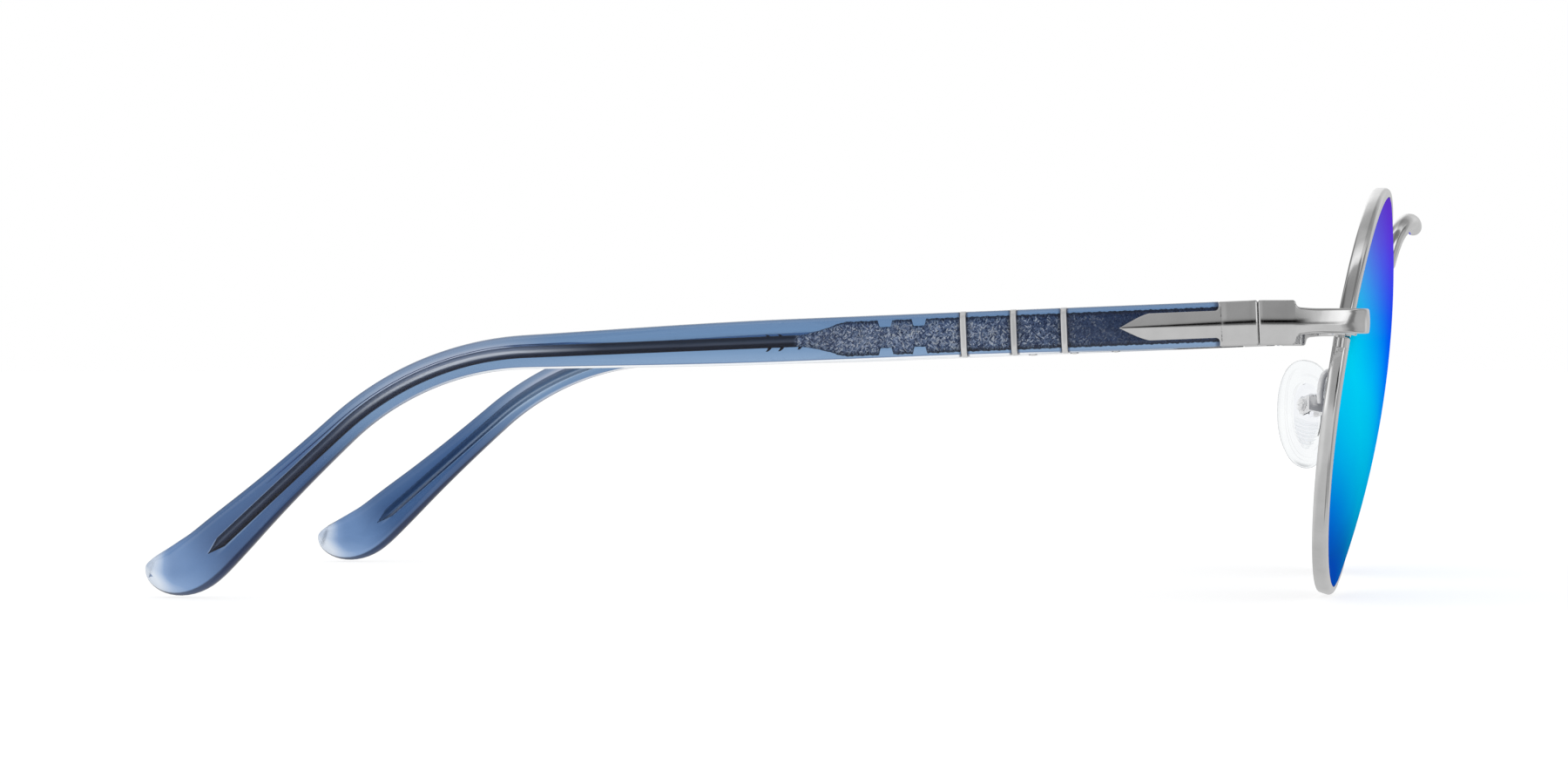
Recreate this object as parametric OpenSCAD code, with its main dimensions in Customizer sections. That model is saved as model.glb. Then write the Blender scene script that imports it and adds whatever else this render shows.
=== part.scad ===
// Sunglasses with round metal rims, mirrored lenses, adjustable nose pads
// and folding acetate temples on a metal core. Millimetres.
// The front faces -Y, the temples run back along +Y, and the rims and both
// temple tips stand on z = 0. Side parts are drawn for the wearer's left
// (+X) and mirrored for the right.

/* [Lenses] */
// Width of a lens
lens_w = 53.4; // [49:0.1:56]
// Height of a lens
lens_h = 48.7; // [45:0.1:51]
// Narrowest distance between the lenses
lens_gap = 19.1; // [17.5:0.1:23]
// Thickness of a lens
lens_t = 1.5; // [1.4:0.05:2]
// Radius of the lens's front surface
base_r = 116; // [95:1:135]
// How much wider the lower half of a lens is, as a share
lower_fullness = 0.01; // [0:0.005:0.04]
// Forward lean of the lens's top, in degrees
lens_tilt = 8; // [4:0.2:11]
// Backward sweep of the lens's outer side, in degrees
lens_wrap = 4.3; // [3:0.1:6]
// Height of the bevel round a lens
bevel_h = 0.4; // [0.3:0.05:0.5]
// Width of the bevel round a lens
bevel_w = 0.5; // [0.4:0.05:0.6]

/* [Rims] */
// Thickness of a rim, outward from the lens
rim_t = 1.25; // [1.1:0.05:1.8]
// Lip of the rim in front of the lens, and behind it
rim_lip = 0.15; // [0.1:0.01:0.25]
// Rounding of the rim's outer corners
rim_round = 0.4; // [0.3:0.05:0.5]
// Free space round the lens's bevel in the groove
groove_clear = 0.1; // [0.08:0.01:0.15]
// Width of the cut that opens the rim
rim_cut = 0.3; // [0.2:0.05:0.5]
// Height of the cut above the middle of the lens
rim_cut_z = 6.7; // [6.4:0.1:6.8]

/* [Rim lock] */
// Radius of the lock barrels
lock_r = 0.9; // [0.8:0.05:1]
// Height of the lower barrel
lock_h = 1.1; // [1:0.05:1.3]
// Height of the upper barrel
lock_top_h = 2.4; // [2:0.1:2.6]
// Distance of the lock's middle behind the lens's front surface
lock_back = 0.3; // [0.2:0.05:0.6]
// Radius of the lock screw
lock_screw_r = 0.4; // [0.35:0.05:0.45]

/* [Bridge] */
// Diameter of the bridge wire
bridge_d = 2.2; // [1.8:0.1:2.6]
// How far the middle of the bridge stands in front of the lenses' middle
bridge_reach = 7.76; // [7:0.02:9]
// Height of the bridge's middle above the lenses' middle
bridge_rise = 21.1; // [20:0.05:22]
// Place of the bridge's foot on the rim, in degrees from the lens's inner side
bridge_foot = 35; // [32:1:38]
// Length of the bridge's leg up to where it starts to bend
leg_l = 7.6; // [7:0.1:8]
// How far the leg leans in
leg_in = 0.9; // [0.6:0.1:1.2]
// How far the leg leans forward
leg_forward = 1.75; // [1.4:0.05:2]
// Half width of the bridge's flat top, as a share of the distance to its foot
top_share = 0.46; // [0.4:0.02:0.55]
// Arch of the bridge's top
top_arch = 0.8; // [0.4:0.1:1]

/* [Hinge] */
// Width across the outer faces of the open temples
front_w = 138.6; // [136:0.2:146]
// Distance from the lenses' middle back to the hinge pin
hinge_y = 11.15; // [10.5:0.05:13]
// Height of the hinge above the lenses' middle
hinge_rise = 8.3; // [7.9:0.05:8.6]
// Distance from the hinge pin out to the temple's inner face
hinge_in = 0.7; // [0.6:0.05:0.8]
// Radius of the knuckles
knuckle_r = 1.45; // [1.35:0.05:1.55]
// Height of the whole stack of knuckles
knuckle_h = 5; // [4.6:0.1:5.2]
// Height of the temple's knuckle
middle_h = 1.7; // [1.5:0.1:1.9]
// Radius of the hinge screw
hinge_screw_r = 0.6; // [0.5:0.05:0.7]
// Radius of the hinge screw's head
hinge_head_r = 1.1; // [1:0.05:1.2]
// Height of the hinge screw's head
hinge_head_h = 0.5; // [0.4:0.05:0.6]
// Length of a hinge leaf from the pin
leaf_l = 3.4; // [3:0.1:3.8]
// Thickness of a hinge leaf
leaf_t = 0.8; // [0.6:0.05:0.9]
// Length of the hinge block on the front
block_l = 4.6; // [4.3:0.1:5]
// Length of the shoulder from the hinge block down to the arm
shoulder_l = 0.5; // [0.3:0.05:0.9]
// Height of the arm between the rim and the hinge block
arm_h = 3; // [2.8:0.05:3.2]
// How far the arm's middle lies above the hinge's middle
arm_rise = 0.2; // [0:0.05:0.3]
// Thickness of that arm at the hinge block
arm_t = 1.9; // [1.7:0.05:2.2]
// Radius of the arm's front corner
corner_r = 1.5; // [1.3:0.05:1.7]
// Front face of the arm, ahead of the lenses' middle
arm_front = 1.94; // [1.8:0.02:2.1]

/* [Temple] */
// Thickness of a temple at the hinge
temple_t = 3.4; // [3:0.1:3.8]
// Thickness of a temple at its tip
tip_t = 3; // [2.8:0.1:3.4]
// Height of a temple at the hinge
temple_h = 5.35; // [5:0.05:5.7]
// Height of a temple at its thinnest, in the ear bend
waist_h = 3.86; // [3.6:0.02:4.4]
// Height of the paddle at the tip
paddle_h = 7.44; // [6.8:0.02:8]
// Distance from the ear bend forward to where the temple starts to thin
thin_before = 32.5; // [28:0.5:36]
// Distance from the start of the ear bend back to the thinnest place
waist_after = 12.3; // [10:0.1:15]
// How late the paddle widens: 2 is early, 3 is late
paddle_flare = 2.8; // [2:0.1:3]
// Length of the round end of the paddle
paddle_l = 7.7; // [7:0.1:8.5]
// Rounding of a temple's edges
edge_r = 1.2; // [0.9:0.05:1.4]
// Fall of a temple's straight part, in degrees
temple_drop = 2.26; // [1.5:0.01:2.6]
// Length from the hinge to the ear bend
bend_start = 88.4; // [85:0.1:93]
// Radius of the ear bend
bend_r = 37; // [32:0.5:42]
// Angle of the ear bend, in degrees
bend_angle = 39.5; // [37:0.1:41]
// Straight length after the ear bend
drop_l = 24; // [22:0.1:25]
// Radius of the upturn of the tip
tip_r = 6.8; // [6:0.1:8]
// Angle of the upturn of the tip, in degrees
tip_angle = 67.6; // [60:0.1:70]
// How far the tip bends in towards the head
toe_in = 13; // [11:0.5:14]
// Height of the ridge over the flat outer face of the cap and the hinge block
ridge_h = 0.5; // [0.3:0.05:0.7]

/* [Flexible section] */
// Length of the metal cap behind the hinge
cap_l = 4.6; // [4.2:0.1:5]
// Length of the cap with its tongue
tongue_l = 16.4; // [15:0.1:18]
// Length of the tongue's pointed end
tongue_tip = 3.6; // [3:0.1:4.5]
// Height of the tongue
tongue_h = 3.2; // [2.8:0.05:3.6]
// Thickness of the tongue at its edges
tongue_edge = 0.12; // [0.1:0.01:0.2]
// Distance from the hinge to the middle of the first spacer
spacer_start = 22.95; // [21.5:0.05:25]
// Distance between spacers
spacer_step = 5.98; // [5:0.02:6.5]
// Number of spacers
spacer_n = 3; // [2:1:4]
// Thickness of a spacer
spacer_t = 0.72; // [0.6:0.02:1]
// How far a spacer stands proud of the acetate
spacer_proud = 0.12; // [0.05:0.01:0.2]

/* [Core wire] */
// Height of the core's flat section
core_h = 3.6; // [3.4:0.05:3.8]
// Thickness of the core's flat section
core_t = 1; // [0.8:0.05:1.2]
// Diameter of the round wire
core_d = 1.4; // [1.2:0.05:1.6]
// Distance from the hinge to the end of the flat section
core_flat_end = 48.8; // [46:0.1:51]
// Length of the taper from the flat section to the round wire
core_taper = 6.1; // [5:0.1:7]
// Length of the core's point
core_point = 2.2; // [1.5:0.1:3]
// Distance from the hinge to the end of the core
core_end = 137; // [130:0.1:137.4]
// Depth of the notches in the flat section
notch_depth = 0.55; // [0.4:0.05:0.6]
// Length of a notch
notch_l = 1.7; // [1.4:0.05:1.9]
// Distance between the notches
notch_step = 4.05; // [3.6:0.05:4.4]
// Distance from the rear notch to the end of the flat section
notch_end = 3.7; // [3:0.1:4.2]
// Free space round the core
core_clear = 0.12; // [0.08:0.01:0.15]

/* [Nose pads] */
// Height of a nose pad
pad_h = 14.4; // [13.5:0.1:15]
// Width of a nose pad
pad_w = 7.6; // [7:0.1:8.2]
// Thickness of a nose pad
pad_t = 1.7; // [1.5:0.05:2]
// Distance from the middle plane out to the pad's screw
pad_x = 12; // [11.6:0.1:12.6]
// Distance from the lenses' middle back to the pad's screw
pad_y = 5.3; // [5:0.1:5.8]
// Height of the pad's screw under the lenses' middle
pad_drop = 2.25; // [2:0.05:3]
// Splay of the pads, in degrees
pad_splay = 30; // [25:1:34]
// Lean of the pads, in degrees
pad_lean = 20; // [16:1:24]
// Slope of the pad's screw, in degrees
pad_pitch = 12; // [8:1:15]
// Distance from the pad's screw to the back of the pad
pad_reach = 2.1; // [2:0.05:2.3]
// Radius of the pad's screw
pad_screw_r = 0.5; // [0.4:0.05:0.55]
// Height of the plate inside the pad
plate_h = 8; // [7:0.1:9]
// Width of the plate inside the pad
plate_w = 3.6; // [3:0.1:4]
// Thickness of the plate inside the pad
plate_t = 0.5; // [0.4:0.05:0.6]
// How far the pad's middle lies forward of its screw
pad_forward = 0.6; // [0.4:0.05:0.9]
// How far the pad's middle lies under its screw
pad_low = 0.3; // [0:0.05:1]
// How much wider the upper half of a pad is, as a share
pad_fullness = 0.1; // [0:0.01:0.15]
// Roundness of the pad's outline: 1 is an ellipse, less is fuller
pad_round = 0.85; // [0.8:0.05:1]
// Thickness of the lug on the pad's core
lug_t = 1.5; // [1.3:0.05:1.7]
// Radius of the lug
lug_r = 0.95; // [0.9:0.05:1.05]
// Thickness of the ears and wall of the pad's box
ear_t = 0.5; // [0.4:0.05:0.6]
// Diameter of the pad's arm
pad_arm_d = 0.9; // [0.8:0.05:1.2]
// Place of the arm's foot on the rim, in degrees under the lens's inner side
pad_arm_foot = 3; // [1:0.5:5]
// Height of the arm's arch over its ends
pad_arm_rise = 4.8; // [4.4:0.1:5.2]
// How far the arm swings back as it leaves the rim
pad_arm_back = 3.2; // [3:0.1:4]
// How far the arm bows out between its ends
pad_arm_bow = 0.7; // [0.5:0.05:0.9]

/* [Fits] */
// Radial clearance of a turning screw
turn_clear = 0.03; // [0.02:0.005:0.06]
// Clearance between parts that are soldered or pressed together
seat_clear = 0.04; // [0.02:0.01:0.06]
// Clearance beside a knuckle, a lug or a turning part
side_clear = 0.06; // [0.04:0.01:0.1]

/* [Hidden] */
$fn = 48;

// Steps of the swept shapes
rim_steps = 72;
wire_sides = 12;
bridge_steps = 12;
pad_arm_steps = 14;
corner_steps = 3;
taper_steps = 6;
bend_steps = 8;
drop_steps = 6;
upturn_steps = 3;
tip_steps = 8;
pad_sides = 48;
ball_sides = 192;

// The lens frame: x outward, y backward along the lens's axis, z up
rim_d = lens_t + 2 * rim_lip;
lens_x = lens_gap / 2 + lens_w / 2;
mean_r = (lens_w + lens_h) / 4;
lens_z = (lens_h / 2 + rim_t) * cos(lens_tilt) + (rim_d / 2 - rim_round) * sin(lens_tilt);
ring_y = sag(mean_r) + rim_d / 2 - rim_lip;

// The hinge frame: origin on the pin, y back along the temple, x outward
hinge_x = front_w / 2 - temple_t - hinge_in;
hinge_z = lens_z + hinge_rise;
mid_x = hinge_in + temple_t / 2;
hinge_gap = side_clear;

// The whole part is centred front to back
front_y = -bridge_reach - bridge_d / 2;
tip_end = temple_point(temple_l());
rear_y = hinge_y + tip_end[0] * cos(temple_drop) + tip_end[1] * sin(temple_drop);
mid_y = (front_y + rear_y) / 2;

// ---- general functions ----

function smooth(u) = let (c = max(0, min(1, u))) c * c * (3 - 2 * c);
function unit(v) = v / norm(v);
function bezier(p, u) =
    let (w = 1 - u)
    w * w * w * p[0] + 3 * w * w * u * p[1] + 3 * w * u * u * p[2] + u * u * u * p[3];
function bezier_tangent(p, u) =
    let (w = 1 - u)
    unit(w * w * (p[1] - p[0]) + 2 * w * u * (p[2] - p[1]) + u * u * (p[3] - p[2]));

// A rectangle with round corners, clockwise round the origin
function round_rect(w, h, r) = [
    for (corner = [0:3], k = [0:corner_steps])
        let (a = corner * 90 + k * 90 / corner_steps,
             sx = (corner == 0 || corner == 3) ? 1 : -1,
             sz = corner < 2 ? 1 : -1)
        [sx * (w / 2 - r) + r * cos(a), sz * (r - h / 2) - r * sin(a)]
];

// Triangles between two rings of n points that start at a and b
function band(a, b, n) = [
    for (k = [0:n - 1])
        let (l = (k + 1) % n)
        each [[a + k, b + k, b + l], [a + k, b + l, a + l]]
];
function backwards(faces) = [for (f = faces) [f[0], f[2], f[1]]];
function fan(a, n) = [for (k = [1:n - 2]) [a, a + k, a + k + 1]];

// A solid through a list of rings
module skin(rings) {
    n = len(rings[0]);
    last = len(rings) - 1;
    polyhedron(
        points = [for (ring = rings) each ring],
        faces = concat(
            fan(0, n),
            [for (i = [0:last - 1]) each band(i * n, (i + 1) * n, n)],
            backwards(fan(last * n, n))
        ),
        convexity = 6
    );
}

// A solid through outer rings with a blind channel through inner rings
module hollow_skin(outer, inner) {
    n = len(outer[0]);
    last_out = len(outer) - 1;
    last_in = len(inner) - 1;
    first_in = len(outer) * n;
    polyhedron(
        points = concat([for (ring = outer) each ring], [for (ring = inner) each ring]),
        faces = concat(
            [for (i = [0:last_out - 1]) each band(i * n, (i + 1) * n, n)],
            backwards(fan(last_out * n, n)),
            [for (i = [0:last_in - 1])
                each backwards(band(first_in + i * n, first_in + (i + 1) * n, n))],
            fan(first_in + last_in * n, n),
            backwards(band(0, first_in, n))
        ),
        convexity = 6
    );
}

// Points and directions along a Bezier curve
function bezier_path(p, steps) = [
    for (i = [0:steps]) [bezier(p, i / steps), bezier_tangent(p, i / steps)]
];

// A round wire along a path that never runs along the direction aside
module wire(path, d, aside) {
    skin([
        for (q = path)
            let (side = unit(cross(q[1], aside)),
                 up = cross(side, q[1]))
            [for (k = [0:wire_sides - 1])
                let (a = k * 360 / wire_sides)
                q[0] + d / 2 * (cos(a) * side - sin(a) * up)]
    ]);
}

// ---- places ----

module on_left() {
    translate([0, -mid_y, 0]) children();
}

module on_right() {
    translate([0, -mid_y, 0]) mirror([1, 0, 0]) children();
}

module in_lens_frame() {
    translate([lens_x, 0, lens_z]) rotate([lens_tilt, 0, lens_wrap])
        translate([0, -ring_y, 0]) children();
}

module at_hinge() {
    translate([hinge_x, hinge_y, hinge_z]) rotate([-temple_drop, 0, 0]) children();
}

module at_pad() {
    translate([pad_x, pad_y, lens_z - pad_drop]) rotate([pad_pitch, 0, 0])
        rotate([0, 0, -pad_splay]) rotate([0, -pad_lean, 0]) children();
}

function turn_x(p, a) = [p[0], p[1] * cos(a) - p[2] * sin(a), p[1] * sin(a) + p[2] * cos(a)];
function turn_y(p, a) = [p[0] * cos(a) + p[2] * sin(a), p[1], p[2] * cos(a) - p[0] * sin(a)];
function turn_z(p, a) = [p[0] * cos(a) - p[1] * sin(a), p[0] * sin(a) + p[1] * cos(a), p[2]];

// Points of the lens frame and the pad frame, in the part's own frame before centring
function from_lens(p) =
    [lens_x, 0, lens_z] + turn_z(turn_x(p - [0, ring_y, 0], lens_tilt), lens_wrap);
function from_pad(p) =
    [pad_x, pad_y, lens_z - pad_drop] + turn_x(turn_z(turn_y(p, -pad_lean), -pad_splay), pad_pitch);

// ---- lens and rim ----

function lens_point(a) =
    [lens_w / 2 * cos(a) * (1 - lower_fullness * sin(a)), lens_h / 2 * sin(a)];
function lens_normal(a) =
    let (dx = -lens_w / 2 * (lower_fullness * cos(2 * a) + sin(a)),
         dz = lens_h / 2 * cos(a))
    unit([dz, -dx]);
function sag(r) = base_r - sqrt(base_r * base_r - r * r);

// A point beside the lens's edge: out from it, and back from the front surface
function edge_point(a, out, back) =
    let (p = lens_point(a),
         n = lens_normal(a),
         s = sag(norm(p)),
         axis = [-p[0], base_r - s, -p[1]] / base_r,
         flat = [n[0], 0, n[1]],
         along = unit(flat - (flat * axis) * axis))
    [p[0], s, p[1]] + out * along + back * axis;

cut_angle = asin(rim_cut_z / (lens_h / 2));
cut_half = rim_cut / 2 / mean_r * 180 / PI;
groove_back = (lens_t + bevel_w) / 2 + groove_clear;
groove_front = (lens_t - bevel_w) / 2 - groove_clear;

rim_section = [
    [0, -rim_lip],
    [rim_t - rim_round, -rim_lip],
    [rim_t - rim_round / 3, rim_round / 3 - rim_lip],
    [rim_t, rim_round - rim_lip],
    [rim_t, rim_d - rim_lip - rim_round],
    [rim_t - rim_round / 3, rim_d - rim_lip - rim_round / 3],
    [rim_t - rim_round, rim_d - rim_lip],
    [0, rim_d - rim_lip],
    [0, groove_back],
    [bevel_h + groove_clear, groove_back],
    [bevel_h + groove_clear, groove_front],
    [0, groove_front]
];

module rim() {
    color("silver") in_lens_frame() skin([
        for (i = [0:rim_steps])
            let (a = cut_angle + cut_half + i * (360 - 2 * cut_half) / rim_steps)
            [for (q = rim_section) edge_point(a, q[0], q[1])]
    ]);
}

// A cone round the lens: its outline widened by grow, narrowing to the middle
// of the lens's curve
module lens_block(grow) {
    far = 3 * ring_y;
    near = -lens_t;
    translate([0, near, 0]) rotate([-90, 0, 0])
        linear_extrude(height = far - near, scale = (base_r - far) / (base_r - near)) polygon([
            for (i = [0:rim_steps - 1])
                let (p = edge_point(i * 360 / rim_steps, grow, 0),
                     wide = (base_r - near) / (base_r - p[1]))
                [p[0] * wide, -p[2] * wide]
        ]);
}

module lens_shell(front, back) {
    translate([0, base_r, 0]) difference() {
        sphere(r = base_r - front, $fn = ball_sides);
        sphere(r = base_r - back, $fn = ball_sides);
    }
}

module lens() {
    color("deepskyblue") in_lens_frame() union() {
        intersection() {
            lens_shell(0, lens_t);
            lens_block(-groove_clear);
        }
        intersection() {
            lens_shell((lens_t - bevel_w) / 2, (lens_t + bevel_w) / 2);
            lens_block(bevel_h);
        }
    }
}

// ---- rim lock ----

lock_clear = rim_cut / 2;
lock_low = asin((rim_cut_z - lock_clear - lock_h) / (lens_h / 2));
lock_edge = edge_point(lock_low, rim_t + lock_r + 2 * seat_clear, lock_back);
lock_head_r = 1.5 * lock_screw_r;
lock_head_h = lock_screw_r;

module at_lock() {
    in_lens_frame() translate([lock_edge[0], lock_edge[1], rim_cut_z]) children();
}

module rim_lock() {
    color("silver") at_lock() translate([0, 0, -lock_clear - lock_h]) difference() {
        cylinder(h = lock_h, r = lock_r);
        translate([0, 0, -lock_h]) cylinder(h = 3 * lock_h, r = lock_screw_r + turn_clear);
        translate([0, 0, -lock_h]) cylinder(h = lock_h + lock_head_h, r = lock_head_r + turn_clear);
    }
}

module rim_screw() {
    slot_w = lock_head_h / 2;
    color("lightgray") at_lock() translate([0, 0, -lock_clear - lock_h]) difference() {
        union() {
            cylinder(h = lock_head_h - seat_clear, r = lock_head_r);
            cylinder(h = lock_h + 2 * lock_clear + lock_top_h / 2, r = lock_screw_r);
        }
        cube([3 * lock_head_r, slot_w, slot_w], center = true);
    }
}

// ---- endpiece ----

plate_angle = asin((hinge_rise + arm_rise + arm_h / 2) / (lens_h / 2));

module arm_column(x, y, r) {
    translate([x, y, hinge_z + arm_rise - arm_h / 2]) cylinder(h = arm_h, r = r, $fn = 32);
}

// The hinge block, level, with its rear face square to the temple
module hinge_block() {
    difference() {
        translate([hinge_x, hinge_y - block_l, hinge_z]) roofed(block_l + hinge_gap);
        at_hinge() translate([-temple_h, -hinge_gap, -temple_h]) cube(2 * temple_h);
    }
}

module endpiece() {
    corner_x = front_w / 2 - corner_r;
    corner_y = corner_r - arm_front;
    side_x = front_w / 2 - arm_t / 2;
    block_y = hinge_y - block_l;
    plate = from_lens(edge_point(plate_angle, rim_t / 2, -rim_lip));
    plate_r = (arm_front + plate[1] - seat_clear) / 2;
    slice = seat_clear;
    color("silver") difference() {
        union() {
            hinge_block();
            hull() {
                translate([hinge_x, block_y, hinge_z]) roofed(slice);
                arm_column(side_x, block_y + arm_t / 2 - shoulder_l, arm_t / 2);
            }
            hull() {
                arm_column(corner_x, corner_y, corner_r);
                arm_column(side_x, block_y, arm_t / 2);
            }
            hull() {
                arm_column(corner_x, corner_y, corner_r);
                arm_column(plate[0], plate_r - arm_front, plate_r);
            }
            at_lock() translate([0, 0, lock_clear]) cylinder(h = lock_top_h, r = lock_r);
            at_lock() translate([0, -lock_r, lock_clear + lock_top_h / 2])
                cube([lock_r, 2 * lock_r, lock_top_h], center = true);
        }
        at_lock() cylinder(h = lock_top_h, r = lock_screw_r + turn_clear);
        at_hinge() cylinder(h = 2 * temple_h, r = knuckle_r + side_clear, center = true);
        at_hinge() translate([hinge_in - leaf_t, -leaf_l - seat_clear, -knuckle_h / 2 - seat_clear])
            cube([2 * leaf_t + seat_clear, leaf_l + seat_clear, knuckle_h + 2 * seat_clear]);
    }
}

// A bar along y with a ridged outer face, from the temple's inner face outward
module roofed(length) {
    translate([hinge_in, 0, 0]) rotate([-90, 0, 0]) linear_extrude(length) polygon([
        [0, -temple_h / 2],
        [temple_t, -temple_h / 2],
        [temple_t + ridge_h, 0],
        [temple_t, temple_h / 2],
        [0, temple_h / 2]
    ]);
}

// ---- hinge ----

module leaf_bore() {
    cylinder(h = 2 * knuckle_h, r = hinge_screw_r + turn_clear, center = true);
}

module front_leaf() {
    color("gray") at_hinge() difference() {
        union() {
            translate([hinge_in, -leaf_l, -knuckle_h / 2])
                cube([leaf_t, leaf_l - hinge_gap, knuckle_h]);
            cylinder(h = knuckle_h, r = knuckle_r, center = true);
        }
        cylinder(h = middle_h + 2 * side_clear, r = knuckle_r + side_clear, center = true);
        leaf_bore();
        translate([0, 0, knuckle_h / 2 - hinge_head_h])
            cylinder(h = knuckle_h, r = hinge_head_r + turn_clear);
    }
}

module hinge_screw() {
    slot_w = hinge_head_h / 2;
    color("lightgray") at_hinge() difference() {
        union() {
            translate([0, 0, -knuckle_h / 2]) cylinder(h = knuckle_h, r = hinge_screw_r);
            translate([0, 0, knuckle_h / 2 - hinge_head_h + seat_clear])
                cylinder(h = hinge_head_h - seat_clear, r = hinge_head_r);
        }
        translate([0, 0, knuckle_h / 2]) cube([3 * hinge_head_r, slot_w, slot_w], center = true);
    }
}

module temple_leaf() {
    color("gray") at_hinge() difference() {
        union() {
            translate([hinge_in, hinge_gap, -middle_h / 2])
                cube([leaf_t, leaf_l - hinge_gap, middle_h]);
            cylinder(h = middle_h, r = knuckle_r, center = true);
        }
        leaf_bore();
    }
}

// ---- temple ----

// The temple's middle line in the hinge frame: y, z and fall at a length from the hinge
function temple_l() =
    bend_start + bend_r * bend_angle * PI / 180 + drop_l + tip_r * tip_angle * PI / 180;
function temple_point(s) =
    let (s1 = bend_start,
         s2 = s1 + bend_r * bend_angle * PI / 180,
         s3 = s2 + drop_l,
         y2 = s1 + bend_r * sin(bend_angle),
         z2 = -bend_r * (1 - cos(bend_angle)),
         y3 = y2 + drop_l * cos(bend_angle),
         z3 = z2 - drop_l * sin(bend_angle))
    s <= s1 ? [s, 0, 0] :
    s <= s2 ? let (f = (s - s1) / bend_r * 180 / PI)
        [s1 + bend_r * sin(f), -bend_r * (1 - cos(f)), f] :
    s <= s3 ? [y2 + (s - s2) * cos(bend_angle), z2 - (s - s2) * sin(bend_angle), bend_angle] :
    let (f = bend_angle - (s - s3) / tip_r * 180 / PI)
        [y3 + tip_r * (sin(bend_angle) - sin(f)), z3 + tip_r * (cos(bend_angle) - cos(f)), f];

flex_end = spacer_start + (spacer_n - 1) * spacer_step + spacer_t / 2;
taper_start = bend_start - thin_before;
waist_s = bend_start + waist_after;
paddle_s = temple_l() - paddle_l;

function toe(y) = toe_in * pow(max(0, y - flex_end) / (tip_end[0] - flex_end), 1.5);
function temple_height(s) =
    s < waist_s ?
        temple_h - (temple_h - waist_h) * smooth((s - taper_start) / (waist_s - taper_start)) :
    waist_h + (paddle_h - waist_h) * pow(min(1, (s - waist_s) / (paddle_s - waist_s)), paddle_flare);
function temple_width(s) =
    temple_t + (tip_t - temple_t) * smooth((s - flex_end) / (temple_l() - flex_end));
function tip_scale(s) =
    s < paddle_s ? 1 : sqrt(max(0, 1 - pow((s - paddle_s) / paddle_l, 2)));

// A section of the temple placed square to its middle line
function placed(section, s) =
    let (m = temple_point(s))
    [for (q = section) [mid_x - toe(m[0]) + q[0], m[0] + q[1] * sin(m[2]), m[1] + q[1] * cos(m[2])]];
function temple_section(s) =
    let (h = temple_height(s) * tip_scale(s),
         w = temple_width(s) * (tip_scale(s) + 1) / 2)
    round_rect(w, h, min(edge_r, 0.49 * h, 0.49 * w));

// The core's section, grown all round; its point ends in a small blunt face
point_share = 0.15;
function core_height(s) =
    let (taper = smooth((s - core_flat_end) / core_taper))
    s < core_end - core_point ? core_h + (core_d - core_h) * taper :
    core_d * max(point_share, (core_end - s) / core_point);
function core_width(s) =
    min(core_t + (core_d - core_t) * smooth((s - core_flat_end) / core_taper), core_height(s));
function core_section(s, grow) =
    let (w = core_width(s) + 2 * grow,
         h = core_height(s) + 2 * grow)
    round_rect(w, h, 0.45 * min(w, h));

arm_start = flex_end + seat_clear;
bend_l = bend_r * bend_angle * PI / 180;
upturn_s = temple_l() - tip_r * tip_angle * PI / 180;
arm_stops = concat(
    [arm_start],
    [for (k = [0:taper_steps - 1]) taper_start + k * (bend_start - taper_start) / taper_steps],
    [for (k = [0:bend_steps - 1]) bend_start + k * bend_l / bend_steps],
    [for (k = [0:drop_steps - 1]) upturn_s - drop_l * (1 - k / drop_steps)],
    [for (k = [0:upturn_steps - 1]) upturn_s + k * (paddle_s - upturn_s) / upturn_steps],
    [for (k = [0:tip_steps]) paddle_s + (paddle_l - seat_clear / 2) * sin(k * 90 / tip_steps)]
);
rear_notch = core_flat_end - notch_end - notch_l;
front_notch = rear_notch - notch_step;
notch_stops = [front_notch, front_notch + notch_l, rear_notch, rear_notch + notch_l];
core_stops = concat(
    [for (k = [0:taper_steps]) core_flat_end + k * core_taper / taper_steps],
    [for (s = arm_stops)
        if (s > core_flat_end + core_taper + core_d && s < core_end - core_point - core_d) s],
    [core_end - core_point, core_end]
);

module temple_arm() {
    channel_end = core_end + 2 * core_clear;
    color("steelblue", 0.6) at_hinge() hollow_skin(
        [for (s = arm_stops) placed(temple_section(s), s)],
        concat(
            [placed(core_section(arm_start, core_clear), arm_start)],
            [for (s = core_stops) if (s < core_end) placed(core_section(s, core_clear), s)],
            [placed(core_section(core_end, core_clear), channel_end)]
        )
    );
}

// The flat core with two pairs of notches, then the round wire
module core_wire() {
    edge = seat_clear;
    notched = [
        for (k = [0:3])
            let (deep = k % 2 == 0)
            each [
                [notch_stops[k] - (deep ? edge : 0), !deep],
                [notch_stops[k] + (deep ? 0 : edge), deep]
            ]
    ];
    color("darkslategray") at_hinge() skin(concat(
        [placed(core_section(cap_l + seat_clear, 0), cap_l + seat_clear)],
        [for (n = notched)
            let (w = core_width(n[0]), h = core_height(n[0]) - (n[1] ? 2 * notch_depth : 0))
            placed(round_rect(w, h, 0.45 * w), n[0])],
        [for (s = core_stops) placed(core_section(s, 0), s)]
    ));
}

// A straight piece of temple between two lengths, with the slot for the core
module sleeve(from, to, proud) {
    slot_h = core_h + 2 * core_clear;
    slot_t = core_t + 2 * core_clear;
    translate([mid_x, from, 0]) rotate([-90, 0, 0]) linear_extrude(to - from) difference() {
        polygon(round_rect(temple_t + 2 * proud, temple_h + 2 * proud, edge_r + proud));
        square([slot_t, slot_h], center = true);
    }
}

module front_sleeve() {
    color("steelblue", 0.6) at_hinge()
        sleeve(cap_l + seat_clear, spacer_start - spacer_t / 2 - seat_clear, 0);
}

module middle_sleeves() {
    color("steelblue", 0.6) at_hinge() for (k = [1:spacer_n - 1])
        sleeve(spacer_start + (k - 1) * spacer_step + spacer_t / 2 + seat_clear,
               spacer_start + k * spacer_step - spacer_t / 2 - seat_clear, 0);
}

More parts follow.
